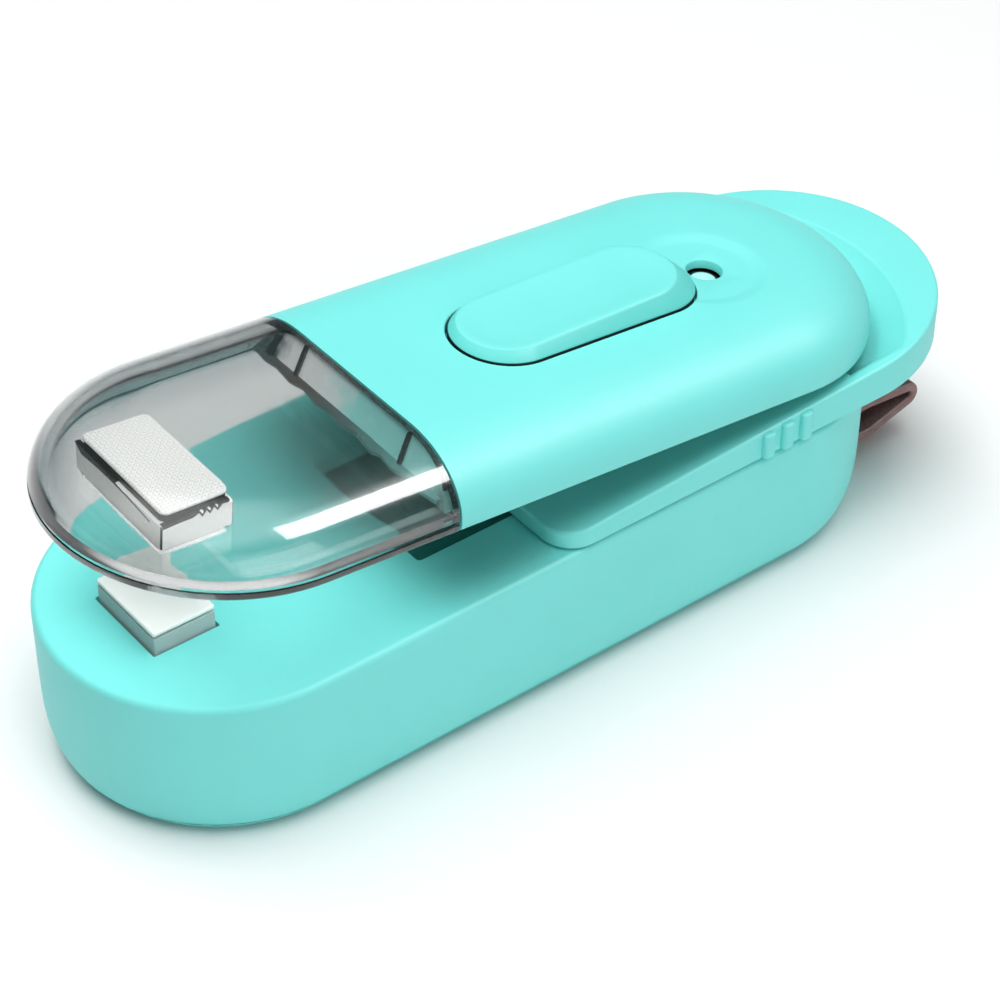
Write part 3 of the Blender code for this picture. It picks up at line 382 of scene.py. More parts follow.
LOOKS = {
    "turquoise_plastic": moulded("satin_turquoise", (0.202, 0.800, 0.765), (0.188, 0.772, 0.735),
                                 (0.44, 0.52)),
    "clear_plastic": clear_plastic("smoky_clear_painted_shade"),
    "dark_plastic": moulded("dark_moulding", (0.032, 0.260, 0.235), (0.024, 0.215, 0.195),
                            (0.4, 0.55)),
    "pearl_plastic": moulded("pearl_moulding", (0.93, 0.93, 0.92), (0.86, 0.85, 0.84),
                             (0.18, 0.3), Coat_Weight=0.4),
    "grey_plastic": moulded("grey_moulding", (0.40, 0.48, 0.48), (0.34, 0.43, 0.43), (0.4, 0.5)),
    "white_silicone": moulded("white_rubber", (0.95, 0.95, 0.93), (0.92, 0.92, 0.89), (0.5, 0.62),
                              depth=0.008),
    "woven_sheet": woven("woven_glass_cloth", (0.92, 0.915, 0.90), (0.62, 0.61, 0.59)),
    "ceramic": moulded("fired_ceramic", (0.80, 0.78, 0.72), (0.70, 0.67, 0.60), (0.55, 0.7),
                       grain=4000.0, depth=0.01),
    "steel": brushed("bright_steel", (0.66, 0.66, 0.65), (0.50, 0.50, 0.50), (0.22, 0.38),
                     (1, 0.06, 1)),
    "spring_steel": brushed("blued_spring_wire", (0.055, 0.055, 0.06), (0.02, 0.02, 0.024),
                            (0.25, 0.42), (0.2, 1, 1)),
    "circuit_board": circuit_board("solder_mask"),
    "cell_jacket": cell_jacket("cell_sleeve"),
    "wire_jacket": moulded("red_insulation", (0.50, 0.035, 0.03), (0.38, 0.02, 0.02), (0.35, 0.5)),
    "strap_leather": leather("pink_brown_leather", (0.19, 0.09, 0.085), (0.085, 0.037, 0.035)),
    "lens_plastic": moulded("frosted_lens", (0.50, 0.93, 0.88), (0.40, 0.86, 0.80), (0.15, 0.25),
                            Subsurface_Weight=0.3, Subsurface_Radius=(0.001, 0.001, 0.001)),
}
STRAP_EDGE = moulded("painted_strap_edge", (0.28, 0.15, 0.14), (0.19, 0.095, 0.09), (0.4, 0.55),
                     blotch=400.0)
# Black rubber of the heater's seal and marks; also painted shade in the gaps round the button and the
# lens.
INK_AND_PAINTED_GAP_SHADE = moulded("black_rubber_and_painted_gap_shade", (0.008, 0.010, 0.010), (0.004, 0.005, 0.005), (0.35, 0.5))
JOINT_INK = moulded("dark_joint_face", (0.012, 0.030, 0.030), (0.006, 0.016, 0.016), (0.2, 0.3))
# Painted reflection and shade on the bulkhead seen through the nose: pale grey on the far side, teal on
# the near side, dark along the foot.
BULKHEAD_PANEL_PAINTED_REFLECTION = painted_light_bands("bulkhead_panel_painted_reflection", [(0.16, (0.06, 0.10, 0.10)), (0.22, (0.80, 0.78, 0.79)),
                                           (0.42, (0.75, 0.80, 0.80)), (0.52, (0.30, 0.72, 0.69)),
                                           (0.85, (0.22, 0.58, 0.55)), (0.95, (0.10, 0.22, 0.21))])
BULKHEAD_FOOT_PAINTED_SHADE = painted_light_bands("bulkhead_foot_painted_shade", [(0.1, (0.05, 0.09, 0.09)), (0.3, (0.07, 0.06, 0.055)),
                                         (0.5, (0.06, 0.10, 0.10)), (0.8, (0.09, 0.26, 0.245))])
# Painted shade: a darker copy of the turquoise for the button's sloping flank.
TURQUOISE_FLANK_PAINTED_SHADE = moulded("turquoise_flank_painted_shade", (0.150, 0.720, 0.675), (0.140, 0.700, 0.655),
                          (0.44, 0.52))
LEAD_FILM = moulded("clear_film", (0.50, 0.72, 0.70), (0.45, 0.66, 0.64), (0.2, 0.3), Alpha=0.1)


# ---------------------------------------------------------------- mesh tools

def arc(radius, centre, start, end, steps=ARC_STEPS):
    """Points of an arc in plan, from start to end in degrees."""
    cx, cy = centre
    angles = (math.radians(start + (end - start) * i / steps) for i in range(steps + 1))
    return [(cx + radius * math.cos(a), cy + radius * math.sin(a)) for a in angles]


def stadium(radius, front, rear, x=0.0):
    return arc(radius, (x, rear), 0, 180) + arc(radius, (x, front), 180, 360)


def rear_half(radius, cut, rear):
    return [(radius, cut)] + arc(radius, (0, rear), 0, 180) + [(-radius, cut)]


def front_half(radius, front, cut):
    return [(-radius, cut)] + arc(radius, (0, front), 180, 360) + [(radius, cut)]


def rounded(x, y, radius, centre=(0, 0), steps=6):
    """Rectangle with round corners, from its half sizes."""
    points = []
    for px, py, start in ((x, -y, 270), (x, y, 0), (-x, y, 90), (-x, -y, 180)):
        middle = (centre[0] + px - math.copysign(radius, px),
                  centre[1] + py - math.copysign(radius, py))
        points += arc(radius, middle, start, start + 90, steps)
    return points


def piece_from(mesh_edit, name):
    mesh = bpy.data.meshes.new(name)
    mesh_edit.to_mesh(mesh)
    mesh_edit.free()
    made = bpy.data.objects.new(name, mesh)
    bpy.context.collection.objects.link(made)
    return made


def bridge(name, rings, closed=False):
    """Solid through rings of points, with flat ends unless the rings close on themselves."""
    mesh_edit = bmesh.new()
    loops = [[mesh_edit.verts.new(point) for point in ring] for ring in rings]
    pairs = list(zip(loops, loops[1:])) + ([(loops[-1], loops[0])] if closed else [])
    for low, high in pairs:
        for i in range(len(low)):
            j = (i + 1) % len(low)
            mesh_edit.faces.new((low[i], low[j], high[j], high[i]))
    if not closed:
        mesh_edit.faces.new(loops[0])
        mesh_edit.faces.new(loops[-1])
    bmesh.ops.recalc_face_normals(mesh_edit, faces=mesh_edit.faces)
    return piece_from(mesh_edit, name)


def loft(name, levels):
    """Solid through level outlines: levels is a list of (outline, z), z a number or a function of y."""
    return bridge(name, [[(x, y, z(y) if callable(z) else z) for x, y in outline]
                         for outline, z in levels])


def prism(name, outline, low, high):
    """Straight solid on an outline."""
    return loft(name, [(outline, low), (outline, high)])


def block(name, low, high):
    outline = [(low[0], low[1]), (high[0], low[1]), (high[0], high[1]), (low[0], high[1])]
    return prism(name, outline, low[2], high[2])


def turned(name, profile, centre, axis=(0, 0, 1), steps=40):
    """Solid of revolution from (radius, distance along the axis) pairs."""
    axis = Vector(axis).normalized()
    across = axis.orthogonal().normalized()
    up = axis.cross(across)
    rings = []
    for radius, distance in profile:
        angles = (math.tau * i / steps for i in range(steps))
        rings.append([Vector(centre) + axis * distance
                      + radius * (math.cos(a) * across + math.sin(a) * up) for a in angles])
    return bridge(name, rings)


def combine(target, cuts=(), joins=()):
    """Joins and cuts helper solids into the target's mesh, and removes the helpers."""
    for tools, operation in ((joins, "UNION"), (cuts, "DIFFERENCE")):
        for tool in tools:
            modifier = target.modifiers.new(operation, "BOOLEAN")
            modifier.operation = operation
            modifier.solver = "EXACT"
            modifier.object = tool
    bake(target)
    for tool in (*joins, *cuts):
        bpy.data.objects.remove(tool)


def bake(target):
    """Makes the modified mesh the object's own mesh."""
    bpy.context.view_layer.update()
    graph = bpy.context.evaluated_depsgraph_get()
    mesh = bpy.data.meshes.new_from_object(target.evaluated_get(graph))
    target.modifiers.clear()
    target.data = mesh


def soften(target, width, segments=3, angle=50):
    """Rounds the edges that are sharper than an angle in degrees."""
    modifier = target.modifiers.new("edge", "BEVEL")
    modifier.width = width
    modifier.segments = segments
    modifier.limit_method = "ANGLE"
    modifier.angle_limit = math.radians(angle)
    bake(target)
    return target


def show(target, body, slot, *replaced, on_arm=False, look=None, paints=()):
    """Finishes a piece: shading, materials, place, body and the CAD nodes that it stands for.

    A paint is one more material with a test of a face's middle and normal that picks its faces.
    """
    mesh = target.data
    mesh.shade_smooth()
    mesh.set_sharp_from_angle(angle=SHARP)
    mesh.materials.clear()
    mesh.materials.append(look or LOOKS[slot])
    for index, (paint, chosen) in enumerate(paints, 1):
        mesh.materials.append(paint)
        for face in mesh.polygons:
            if chosen(face.center, face.normal):
                face.material_index = index
    if on_arm:
        mesh.transform(ARM)
    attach(target, body)
    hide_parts(*replaced)


def fillet(steps, start=0.0, end=90.0):
    """Pairs (share across, share up) along a quarter circle, from upright to level."""
    angles = (math.radians(start + (end - start) * k / steps) for k in range(steps + 1))
    return [(1 - math.cos(a), math.sin(a)) for a in angles]


def flared(outline, low, top, radius):
    """Levels of a cutter whose mouth is rounded: outline is a function of the outward offset."""
    levels = [(outline(0.0), low)]
    for across, up in fillet(5, 0, 78):
        levels.append((outline(radius * across), top - radius + radius * up))
    return levels + [(levels[-1][0], top + 1 * MM)]


# ---------------------------------------------------------------- base

BASE_WALL = 1.8 * MM
DRAFT, DRAFT_POWER = 2.25 * MM, 8    # how the foot of the wall curves in
DECK_EDGE = 0.8 * MM
COVER_SCREWS = [middle_of(f"cover_screw_{number}") for number in range(1, 5)]


def base_inset(z):
    return DRAFT * (1 - z / DECK) ** DRAFT_POWER


def base_ring(inset):
    return stadium(RADIUS - inset, -BASE_END, BASE_END)


def make_base_tub():
    """Hollow tub under a flat deck, with bosses and ribs, and openings for all that passes its wall."""
    heights = [SEAM + (12 * MM - SEAM) * (k / 10) ** 1.6 for k in range(11)]
    levels = [(base_ring(base_inset(z)), z) for z in heights]
    levels += [(base_ring(DECK_EDGE * across), DECK - DECK_EDGE + DECK_EDGE * up)
               for across, up in fillet(6)]
    levels.reverse()
    levels += [(base_ring(BASE_WALL + base_inset(z)), z) for z in (SEAM, 3 * MM, 5 * MM, 8 * MM)]
    roof = DECK - BASE_WALL
    levels.append((base_ring(BASE_WALL), roof))
    tub = loft("base_tub", levels)
    root = roof + 0.2 * MM               # joined solids reach a little into the deck
    boss_r, pilot_r = 2.2 * MM, 1.2 * MM
    joins = [turned("boss", [(boss_r, SEAM), (boss_r, root)], (spot.x, spot.y, 0))
             for spot in COVER_SCREWS]
    for half, front, rear in ((18.4 * MM, -14.3 * MM, -13.4 * MM), (16.6 * MM, 42.4 * MM, 43.3 * MM)):
        joins.append(block("rib", (-half, front, 1.8 * MM), (half, rear, 15.6 * MM)))
    for x in (-12.8 * MM, 11.0 * MM):
        joins.append(block("bar_post", (x, 45.4 * MM, 3.2 * MM), (x + 1.8 * MM, 48.6 * MM, root)))
    cuts = [turned("pilot", [(pilot_r, 0), (pilot_r, 11 * MM)], (spot.x, spot.y, 0))
            for spot in COVER_SCREWS]

    def window(grow):
        return rounded(10.2 * MM + grow, 31.25 * MM + grow, 0.4 * MM + grow, (0, 16.75 * MM))

    under, over = 17 * MM, 20 * MM       # heights of a cutter through the deck
    cuts.append(loft("window", flared(window, under, DECK, 0.3 * MM)))
    cuts.append(block("rebate", (-11.8 * MM, 1 * MM, under), (11.8 * MM, 37 * MM, 18.4 * MM)))
    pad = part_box("anvil_pad")
    half_x, half_y = pad[1].x + GAP, (pad[1].y - pad[0].y) / 2 + GAP
    middle = (0, (pad[0].y + pad[1].y) / 2)
    cuts.append(prism("pad_hole", rounded(half_x, half_y, 0.2 * MM, middle, 2), under, over))
    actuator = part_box("switch_actuator")
    switch_x = (actuator[0].x + actuator[1].x) / 2
    cuts.append(prism("switch_slot", rounded(1.1 * MM, 2.7 * MM, 1.0 * MM, (switch_x, 4.5 * MM)),
                      under, over))
    slot = [[(x, y, z) for x, z in rounded(10.5 * MM, 3.95 * MM, 1.2 * MM, (0, 6.35 * MM))]
            for y in (46 * MM, 56 * MM)]
    cuts.append(bridge("strap_slot", slot))
    bar_r, reach = 1.5 * MM, 12.2 * MM
    cuts.append(turned("bar_hole", [(bar_r, -reach), (bar_r, reach)], middle_of("strap_bar"), (1, 0, 0)))
    combine(tub, cuts, joins)
    show(tub, "base", "turquoise_plastic", "base_shell")


def make_pad():
    """White pad on its grey holder, which is screwed on below the deck by a flange."""
    pad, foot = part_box("anvil_pad"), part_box("anvil_holder")
    middle = (0, (pad[0].y + pad[1].y) / 2)
    outline = rounded(pad[1].x, (pad[1].y - pad[0].y) / 2, 0.25 * MM, middle, 3)
    holder = prism("pad_holder", outline, foot[0].z, foot[1].z)
    flange = prism("flange", rounded(foot[1].x, (foot[1].y - foot[0].y) / 2, 1.0 * MM, middle),
                   16.0 * MM, 17.2 * MM)
    holes = [turned("hole", [(1.2 * MM, 15 * MM), (1.2 * MM, 18 * MM)], (x, middle[1], 0))
             for x in (-7.7 * MM, 7.7 * MM)]
    combine(holder, holes, [flange])
    strip = prism("pad_strip", outline, pad[0].z, pad[1].z)
    for piece, slot, node in ((holder, "grey_plastic", "anvil_holder"),
                              (strip, "white_silicone", "anvil_pad")):
        soften(piece, 0.12 * MM)
        show(piece, "base", slot, node)


# ---------------------------------------------------------------- slide

SLIDE_CORNER = 4.0 * MM
SLIDE_SLOPE = 0.05
SLIDE_RISE = 2.6 * MM


def slide_ramp(y):
    return DECK + SLIDE_RISE + SLIDE_SLOPE * y


def slide_ring(inset):
    rear = SLIDE[1].y - RADIUS
    front = SLIDE[0].y + SLIDE_CORNER
    corner = SLIDE_CORNER - inset
    side = RADIUS - SLIDE_CORNER
    return (arc(corner, (side, front), 270, 360, 10) + arc(RADIUS - inset, (0, rear), 0, 180)
            + arc(corner, (-side, front), 180, 270, 10))


def seat_ring(radius, half, grow):
    """Seat's outline: its rear wall is concentric with the arm's end, its sides are straight."""
    centre, front, corner = 34.5 * MM, 41.0 * MM, 2.5 * MM
    radius, half = radius + grow, half + grow
    inner = radius - corner
    lean = math.degrees(math.acos((half - corner) / inner))
    side = centre + inner * math.sin(math.radians(lean))
    return ([(half, front)] + arc(corner, (half - corner, side), 0, lean, 6)
            + arc(radius, (0, centre), lean, 180 - lean)[1:-1]
            + arc(corner, (corner - half, side), 180 - lean, 180, 6) + [(-half, front)])


def make_slide():
    """Tray between base and arm: a sloping top, a seat for the arm's round end and grip ribs."""
    rim = DECK + GAP
    edge, toe = 0.45 * MM, 0.15 * MM
    levels = [(slide_ring(toe), rim), (slide_ring(0), rim + toe)]
    levels += [(slide_ring(edge * across), lambda y, up=up: slide_ramp(y) - edge + edge * up)
               for across, up in fillet(5)]
    slide = loft("slide_tray", levels)

    seat_z, cove, lip = 22.3 * MM, 1.3 * MM, 1.2 * MM
    foot = (19.8 * MM, 16.3 * MM)
    brim = (23.2 * MM, 17.9 * MM)
    seat = [(seat_ring(*foot, cove * up), seat_z + cove * across)
            for across, up in fillet(4, 0, 40)]
    seat += [(seat_ring(*brim, lip * across), lambda y, up=up: slide_ramp(y) - lip + lip * up)
             for across, up in fillet(4, 40, 80)]
    seat.append((seat_ring(*brim, lip), 60 * MM))
    rails = []
    for side in (1, -1):
        for reach, low, high in ((9.9, 17.6, 20.1), (11.4, 17.5, 18.1)):
            x = sorted((side * 8.9 * MM, side * reach * MM))
            rails.append(block("rail", (x[0], 6 * MM, low * MM), (x[1], 36 * MM, high * MM)))
    ribs = []
    rib_x, rib_y, proud = 0.65 * MM, 0.85 * MM, 0.75 * MM
    for k in range(3):
        y = (27.3 + 2.85 * k) * MM
        for side in (1, -1):
            outline = rounded(rib_x, rib_y, 0.6 * MM, (side * (RADIUS + proud - rib_x), y))
            rib = prism("rib", outline, rim + 0.1 * MM, slide_ramp(y) - 0.15 * MM)
            ribs.append(soften(rib, 0.35 * MM, 4, 60))
    slot = block("slot", (-7.6 * MM, -20 * MM, 10 * MM), (7.6 * MM, 50.6 * MM, 40 * MM))
    pocket = block("pocket", (13.7 * MM, 4.9 * MM, 10 * MM), (15.9 * MM, 7.1 * MM, rim + 1.3 * MM))
    combine(slide, [loft("seat", seat), slot, pocket], rails + ribs)
    show(slide, "slide", "turquoise_plastic", "lock_slide")


# ---------------------------------------------------------------- arm

def crown(outline, wall=0.0, roof=None, steps=12):
    """Levels of the arm's curved crown, set in by the thickness of wall and roof."""
    roof = wall if roof is None else roof
    width, height = CROWN_W - wall * 0.7, CROWN_H - roof
    levels = []
    for k in range(steps + 1):
        a = math.radians(90 * k / steps)
        levels.append((outline(wall + width * (1 - math.cos(a))), ARM_SIDE + height * math.sin(a)))
    return levels


BUTTON = level_box("press_button")
BUTTON_FLANGE = 0.6 * MM
BUTTON_X = (BUTTON[0].x + BUTTON[1].x) / 2
BUTTON_R = (BUTTON[1].x - BUTTON[0].x) / 2 - BUTTON_FLANGE
BUTTON_Y = (BUTTON[0].y + BUTTON_R + BUTTON_FLANGE, BUTTON[1].y - BUTTON_R - BUTTON_FLANGE)
LENS = level_box("indicator_lens")
LENS_X, LENS_Y = (LENS[0].x + LENS[1].x) / 2, (LENS[0].y + LENS[1].y) / 2


def make_arm_casing():
    """Opaque rear part of the arm, with the button's opening and the lens hole in a shallow dish."""
    front, wall = SHELL[0].y, 1.6 * MM
    lip = 0.4 * MM

    def outer(inset):
        return rear_half(RADIUS - inset, front, ARM_REAR)

    def inner(inset):
        return rear_half(RADIUS - inset, front - 5 * MM, ARM_REAR)

    levels = [(outer(lip - lip * up), lip * across) for across, up in fillet(4)][:-1]
    casing = loft("arm_casing", levels + crown(outer))
    screws = [(x * MM, y * MM, 0) for x in (-13.2, 13.2) for y in (2, 30)]
    bosses = [turned("boss", [(2.0 * MM, 1.8 * MM), (2.0 * MM, 6.6 * MM)], spot) for spot in screws]
    pilots = [turned("pilot", [(1.2 * MM, 0), (1.2 * MM, 5.6 * MM)], spot) for spot in screws]
    hollow = loft("hollow", [(inner(wall), -2 * MM)] + crown(inner, wall))
    combine(casing, [hollow])

    def opening_ring(grow):
        return stadium(BUTTON_R + GAP + grow, *BUTTON_Y, BUTTON_X)

    opening = loft("opening", flared(opening_ring, 4 * MM, ARM_TOP, 0.25 * MM))
    recess, depth, foot, run = [], 0.5 * MM, 5.9 * MM, 2.0 * MM
    for k in range(9):
        t = k / 8
        rise = (depth - 0.004 * MM) * t * t * (3 - 2 * t)
        recess.append((foot + run * t, ARM_TOP - depth + rise))
    recess.append((foot + run, ARM_TOP + 2 * MM))
    dish = turned("dish", recess, (LENS_X, LENS_Y - 0.7 * MM, 0), steps=72)
    mouth, hole_r = ARM_TOP - depth, 2.1 * MM
    hole = turned("hole", [(hole_r, 4 * MM), (hole_r, mouth - 0.25 * MM),
                           (hole_r + 0.08 * MM, mouth - 0.08 * MM), (hole_r + 0.25 * MM, mouth),
                           (hole_r + 0.25 * MM, mouth + 2 * MM)],
                  (LENS_X, LENS_Y, 0), steps=48)
    combine(casing, pilots + [opening, dish, hole], bosses)
    show(casing, "press_arm", "turquoise_plastic", "arm_shell", on_arm=True)


def make_nose():
    """Clear nose of the arm, and the clear jaw plate that closes it from below."""
    rear, low = NOSE[1].y, NOSE[0].z
    wall, roof = 2.0 * MM, 1.5 * MM

    def outer(inset):
        return front_half(RADIUS - inset, ARM_FRONT, rear)

    def inner(inset):
        return front_half(RADIUS - inset, ARM_FRONT, rear + 5 * MM)

    upper = [(outline, z) for outline, z in crown(outer, steps=20) if z > low + 0.25 * MM]
    edge = 0.12 * MM
    nose = loft("nose_window", [(outer(edge), low), (outer(0.01 * MM), low + edge)] + upper)
    hollow = loft("hollow", [(inner(wall), -2 * MM)] + crown(inner, wall, roof, 20))
    combine(nose, [hollow])

    def joint_face(place, normal):
        return normal.y > 0.99 and place.y > rear - 0.05 * MM

    show(nose, "press_arm", "clear_plastic", "clear_nose", on_arm=True, paints=[(JOINT_INK, joint_face)])

    top, lip = JAW[1].z, 0.35 * MM
    levels = [(outer(lip - lip * up), lip * across) for across, up in fillet(5)]
    levels += [(outer(0.0), top - 0.12 * MM), (outer(0.12 * MM), top)]
    jaw = loft("jaw_window", levels)
    hole = prism("hole", rounded(8.1 * MM, 4.2 * MM, 0.8 * MM, (0, HEAD_Y)), -2 * MM, 4 * MM)
    combine(jaw, [hole])
    show(jaw, "press_arm", "clear_plastic", "jaw_plate", on_arm=True, paints=[(JOINT_INK, joint_face)])


def make_bulkhead():
    """Wall between casing and clear nose: a leaning front, three posts and a jagged foot, coloured with
    painted reflection and shade.
    """
    low = level_box("arm_bulkhead")[0]
    face, back = -15.9 * MM, -14.9 * MM
    section = [(outline[0][0], z)
               for outline, z in crown(lambda inset: [(RADIUS - inset, 0)], 1.9 * MM)]
    right = [(section[0][0], low.z)] + [(x, z) for x, z in section if z > low.z + 0.2 * MM]
    outline = right + [(-x, z) for x, z in reversed(right)]
    top = max(z for _, z in outline)

    def front(z, proud=0.0):
        return face - 1.7 * MM * (top - z) / (top - low.z) - proud

    plate = bridge("nose_bulkhead", [[(x, front(z), z) for x, z in outline],
                                     [(x, back, z) for x, z in outline]])
    extras = []
    foot, root = low.z + 0.1 * MM, face + 0.2 * MM
    for x, half, out, high in ((-13.6, 0.5, 0.5, 5.4), (-8.6, 0.25, 0.45, 6.1), (10.2, 0.25, 0.4, 5.9)):
        proud, peak = out * MM, high * MM
        side = [(front(foot, proud), foot), (front(peak, proud), peak), (root, peak), (root, foot)]
        extras.append(bridge("post", [[(end * MM, y, z) for y, z in side]
                                      for end in (x - half, x + half)]))
    teeth = [(17.0, 2.0), (14.5, 2.5), (12.6, 2.1), (10.2, 2.6), (7.8, 2.2), (6.9, 2.7), (3.6, 2.2),
             (1.2, 2.7), (-1.4, 2.2), (-3.1, 2.6), (-6.4, 2.1), (-8.2, 2.6), (-11.3, 2.2),
             (-13.1, 2.5), (-17.0, 2.0)]
    shelf = [(x * MM, face - reach * MM) for x, reach in teeth]
    shelf += [(-17 * MM, root), (17 * MM, root)]
    extras.append(prism("shelf", shelf, 2.2 * MM, 2.7 * MM))
    combine(plate, [], extras)
    soften(plate, 0.08 * MM, 2)

    # Painted reflection: the leaning front takes the pale and teal bands.
    def painted_reflection_panel(place, normal):
        return abs(place.y - front(place.z)) < 0.06 * MM

    def post_or_back(place, normal):
        post = place.z > 2.8 * MM and place.y < front(place.z) - 0.1 * MM
        return post or place.y > face - 0.05 * MM

    # Painted shade and dark reflection on the foot and shelf; the posts and the back are dark joint ink.
    show(plate, "press_arm", "dark_plastic", "arm_bulkhead", on_arm=True, look=BULKHEAD_FOOT_PAINTED_SHADE,
         paints=[(BULKHEAD_PANEL_PAINTED_REFLECTION, painted_reflection_panel), (JOINT_INK, post_or_back)])


def make_button():
    """Oval button whose dished top rises towards the rear, with painted shade on its upright wall and
    its flank.
    """
    low, foot = BUTTON[0].z, ARM_TOP + 0.03 * MM
    rim_r, rim_x, rim_y, front_rise = 5.45 * MM, 1.15 * MM, (3.35 * MM, 21.05 * MM), 1.0 * MM
    front, rear = rim_y[0] - rim_r, rim_y[1] + rim_r

    def crest(y):
        share = (y - front) / (rear - front)
        return ARM_TOP + front_rise + (BUTTON[1].z - ARM_TOP - front_rise) * share

    def ring(inset, z):
        return [(x, y, z) for x, y in stadium(BUTTON_R - inset, *BUTTON_Y, BUTTON_X)]

    def flank(across, up):
        pairs = zip(stadium(BUTTON_R, *BUTTON_Y, BUTTON_X), stadium(rim_r, *rim_y, rim_x))
        return [(x0 + (x1 - x0) * across, y0 + (y1 - y0) * across, foot + (crest(y1) - foot) * up)
                for (x0, y0), (x1, y1) in pairs]

    def rim(inset, drop):
        return [(x, y, crest(y) - drop) for x, y in stadium(rim_r - inset, *rim_y, rim_x)]

    rings = [ring(-BUTTON_FLANGE, low), ring(-BUTTON_FLANGE, low + 1.0 * MM), ring(0.0, low + 1.05 * MM)]
    rings += [flank(across, up) for across, up in ((0.0, 0.0), (0.03, 0.06), (0.09, 0.14), (0.88, 0.86))]
    rings += [rim(inset * MM, drop * MM)
              for inset, drop in ((0.02, 0.07), (0.18, 0.015), (0.4, 0.0), (0.7, 0.02), (1.1, 0.08),
                                  (1.7, 0.18), (2.4, 0.27), (3.3, 0.34), (4.2, 0.38), (4.9, 0.39))]
    button = bridge("button_cap", rings)
    cavity = prism("cavity", stadium(BUTTON_R - 1.4 * MM, *BUTTON_Y, BUTTON_X), 2 * MM, 7.4 * MM)
    spring = level_box("button_spring")
    post_y = (spring[0].y + spring[1].y) / 2
    post = turned("post", [(1.4 * MM, 5.7 * MM), (1.4 * MM, 7.8 * MM)], (BUTTON_X, post_y, 0))
    combine(button, [cavity])
    combine(button, [], [post])

    # Painted shade: the upright wall is black where the gap round the button lies in shade.
    def wall(place, normal):
        return place.z < foot and abs(normal.z) < 0.2

    # Painted shade: the sloping flank takes a darker turquoise.
    def shaded_slope(place, normal):
        return place.z > foot and 0.2 < normal.z < 0.93

    show(button, "button", "turquoise_plastic", "press_button", on_arm=True,
         paints=[(INK_AND_PAINTED_GAP_SHADE, wall), (TURQUOISE_FLANK_PAINTED_SHADE, shaded_slope)])


def make_lens():
    """Domed lens deep in its hole, with a black ring of painted shade round it where the gap lies in
    shade.
    """
    low = LENS[0].z
    profile = [(2.0, 0.0), (2.0, 0.44), (1.94, 0.5), (1.62, 0.5), (1.55, 0.44), (1.50, 0.44),
               (1.46, 0.62), (1.2, 0.74), (0.8, 0.82), (0.3, 0.86)]
    lens = turned("indicator_window", [(r * MM, low + z * MM) for r, z in profile],
                  (LENS_X, LENS_Y, 0), steps=48)
    # Painted shade: the flange round the dome is black, for the shaded gap between lens and hole.
    show(lens, "press_arm", "lens_plastic", "indicator_lens", on_arm=True,
         paints=[(INK_AND_PAINTED_GAP_SHADE, lambda place, normal: math.dist(place[:2], (LENS_X, LENS_Y)) > 1.47 * MM)])


# ---------------------------------------------------------------- heater head

HEAD = level_box("heater_core")
HEAD_Y = (HEAD[0].y + HEAD[1].y) / 2
HEAD_X, HEAD_HALF_Y = HEAD[1].x, (HEAD[1].y - HEAD[0].y) / 2


def head_ring(margin, radius):
    return rounded(HEAD_X + margin, HEAD_HALF_Y + margin, radius, (0, HEAD_Y))


def make_holder():
    """Frosted box with dark corner lines; its black seal shows under the edge of the cap."""
    margin, line = 1.3 * MM, 0.25 * MM
    outer, inner = head_ring(margin, line), head_ring(0.9 * MM, 0.9 * MM)
    holder = prism("heater_holder_frosted", inner, -0.2 * MM, 1.6 * MM)
    upper = loft("upper", [(outer, 1.3 * MM), (outer, 4.0 * MM),
                           (head_ring(1.2 * MM, line), 4.1 * MM)])
    bore = prism("bore", head_ring(GAP, 0.4 * MM), -2 * MM, 8 * MM)
    combine(holder, [], [upper])
    front = HEAD_Y - HEAD_HALF_Y - margin
    side = HEAD_X + margin
    high, low, steps, end = [], [], 24, 0.88
    for k in range(steps + 1):
        t = end * k / steps
        z = 4.5 - 1.2 * t ** 1.5
        thick = 0.12 + 0.95 * (1 - t / end) ** 2.0 * min(1.0, t / 0.06)
        x = -side + 0.2 * MM + (2 * side - 0.4 * MM) * t
        high.append((x, z * MM))
        low.append((x, (z - thick) * MM))
    leaf = bridge("leaf", [[(x, y, z) for x, z in high + low[::-1]]
                           for y in (front - 0.04 * MM, front + 0.5 * MM)])
    path = [(-4.2, 4.0), (-2.2, 4.12), (-0.6, 4.12), (0.1, 4.3), (0.5, 3.7), (1.0, 4.3), (1.4, 3.75),
            (1.9, 4.35), (2.3, 3.8), (2.9, 4.35), (3.7, 4.3)]
    high = [(HEAD_Y + y * MM, (z + 0.16) * MM) for y, z in path]
    low = [(HEAD_Y + y * MM, (z - 0.16 - 0.12 * (y < 0)) * MM) for y, z in path]
    squiggle = bridge("squiggle", [[(x, y, z) for y, z in high + low[::-1]]
                                   for x in (side - 0.5 * MM, side + 0.04 * MM)])
    seal = prism("seal", inner, 4.0 * MM, 4.5 * MM)
    combine(holder, [bore], [seal, leaf, squiggle])

    def black(place, normal):
        beyond = place.y < front - 0.02 * MM or place.x > side + 0.02 * MM
        corner = abs(normal.x) > 0.3 and abs(normal.y) > 0.3 and place.x * normal.x > 0
        return place.z > 4.11 * MM or beyond or (corner and place.z > 1.3 * MM)

    show(holder, "press_arm", "pearl_plastic", "heater_holder", on_arm=True, paints=[(INK_AND_PAINTED_GAP_SHADE, black)])


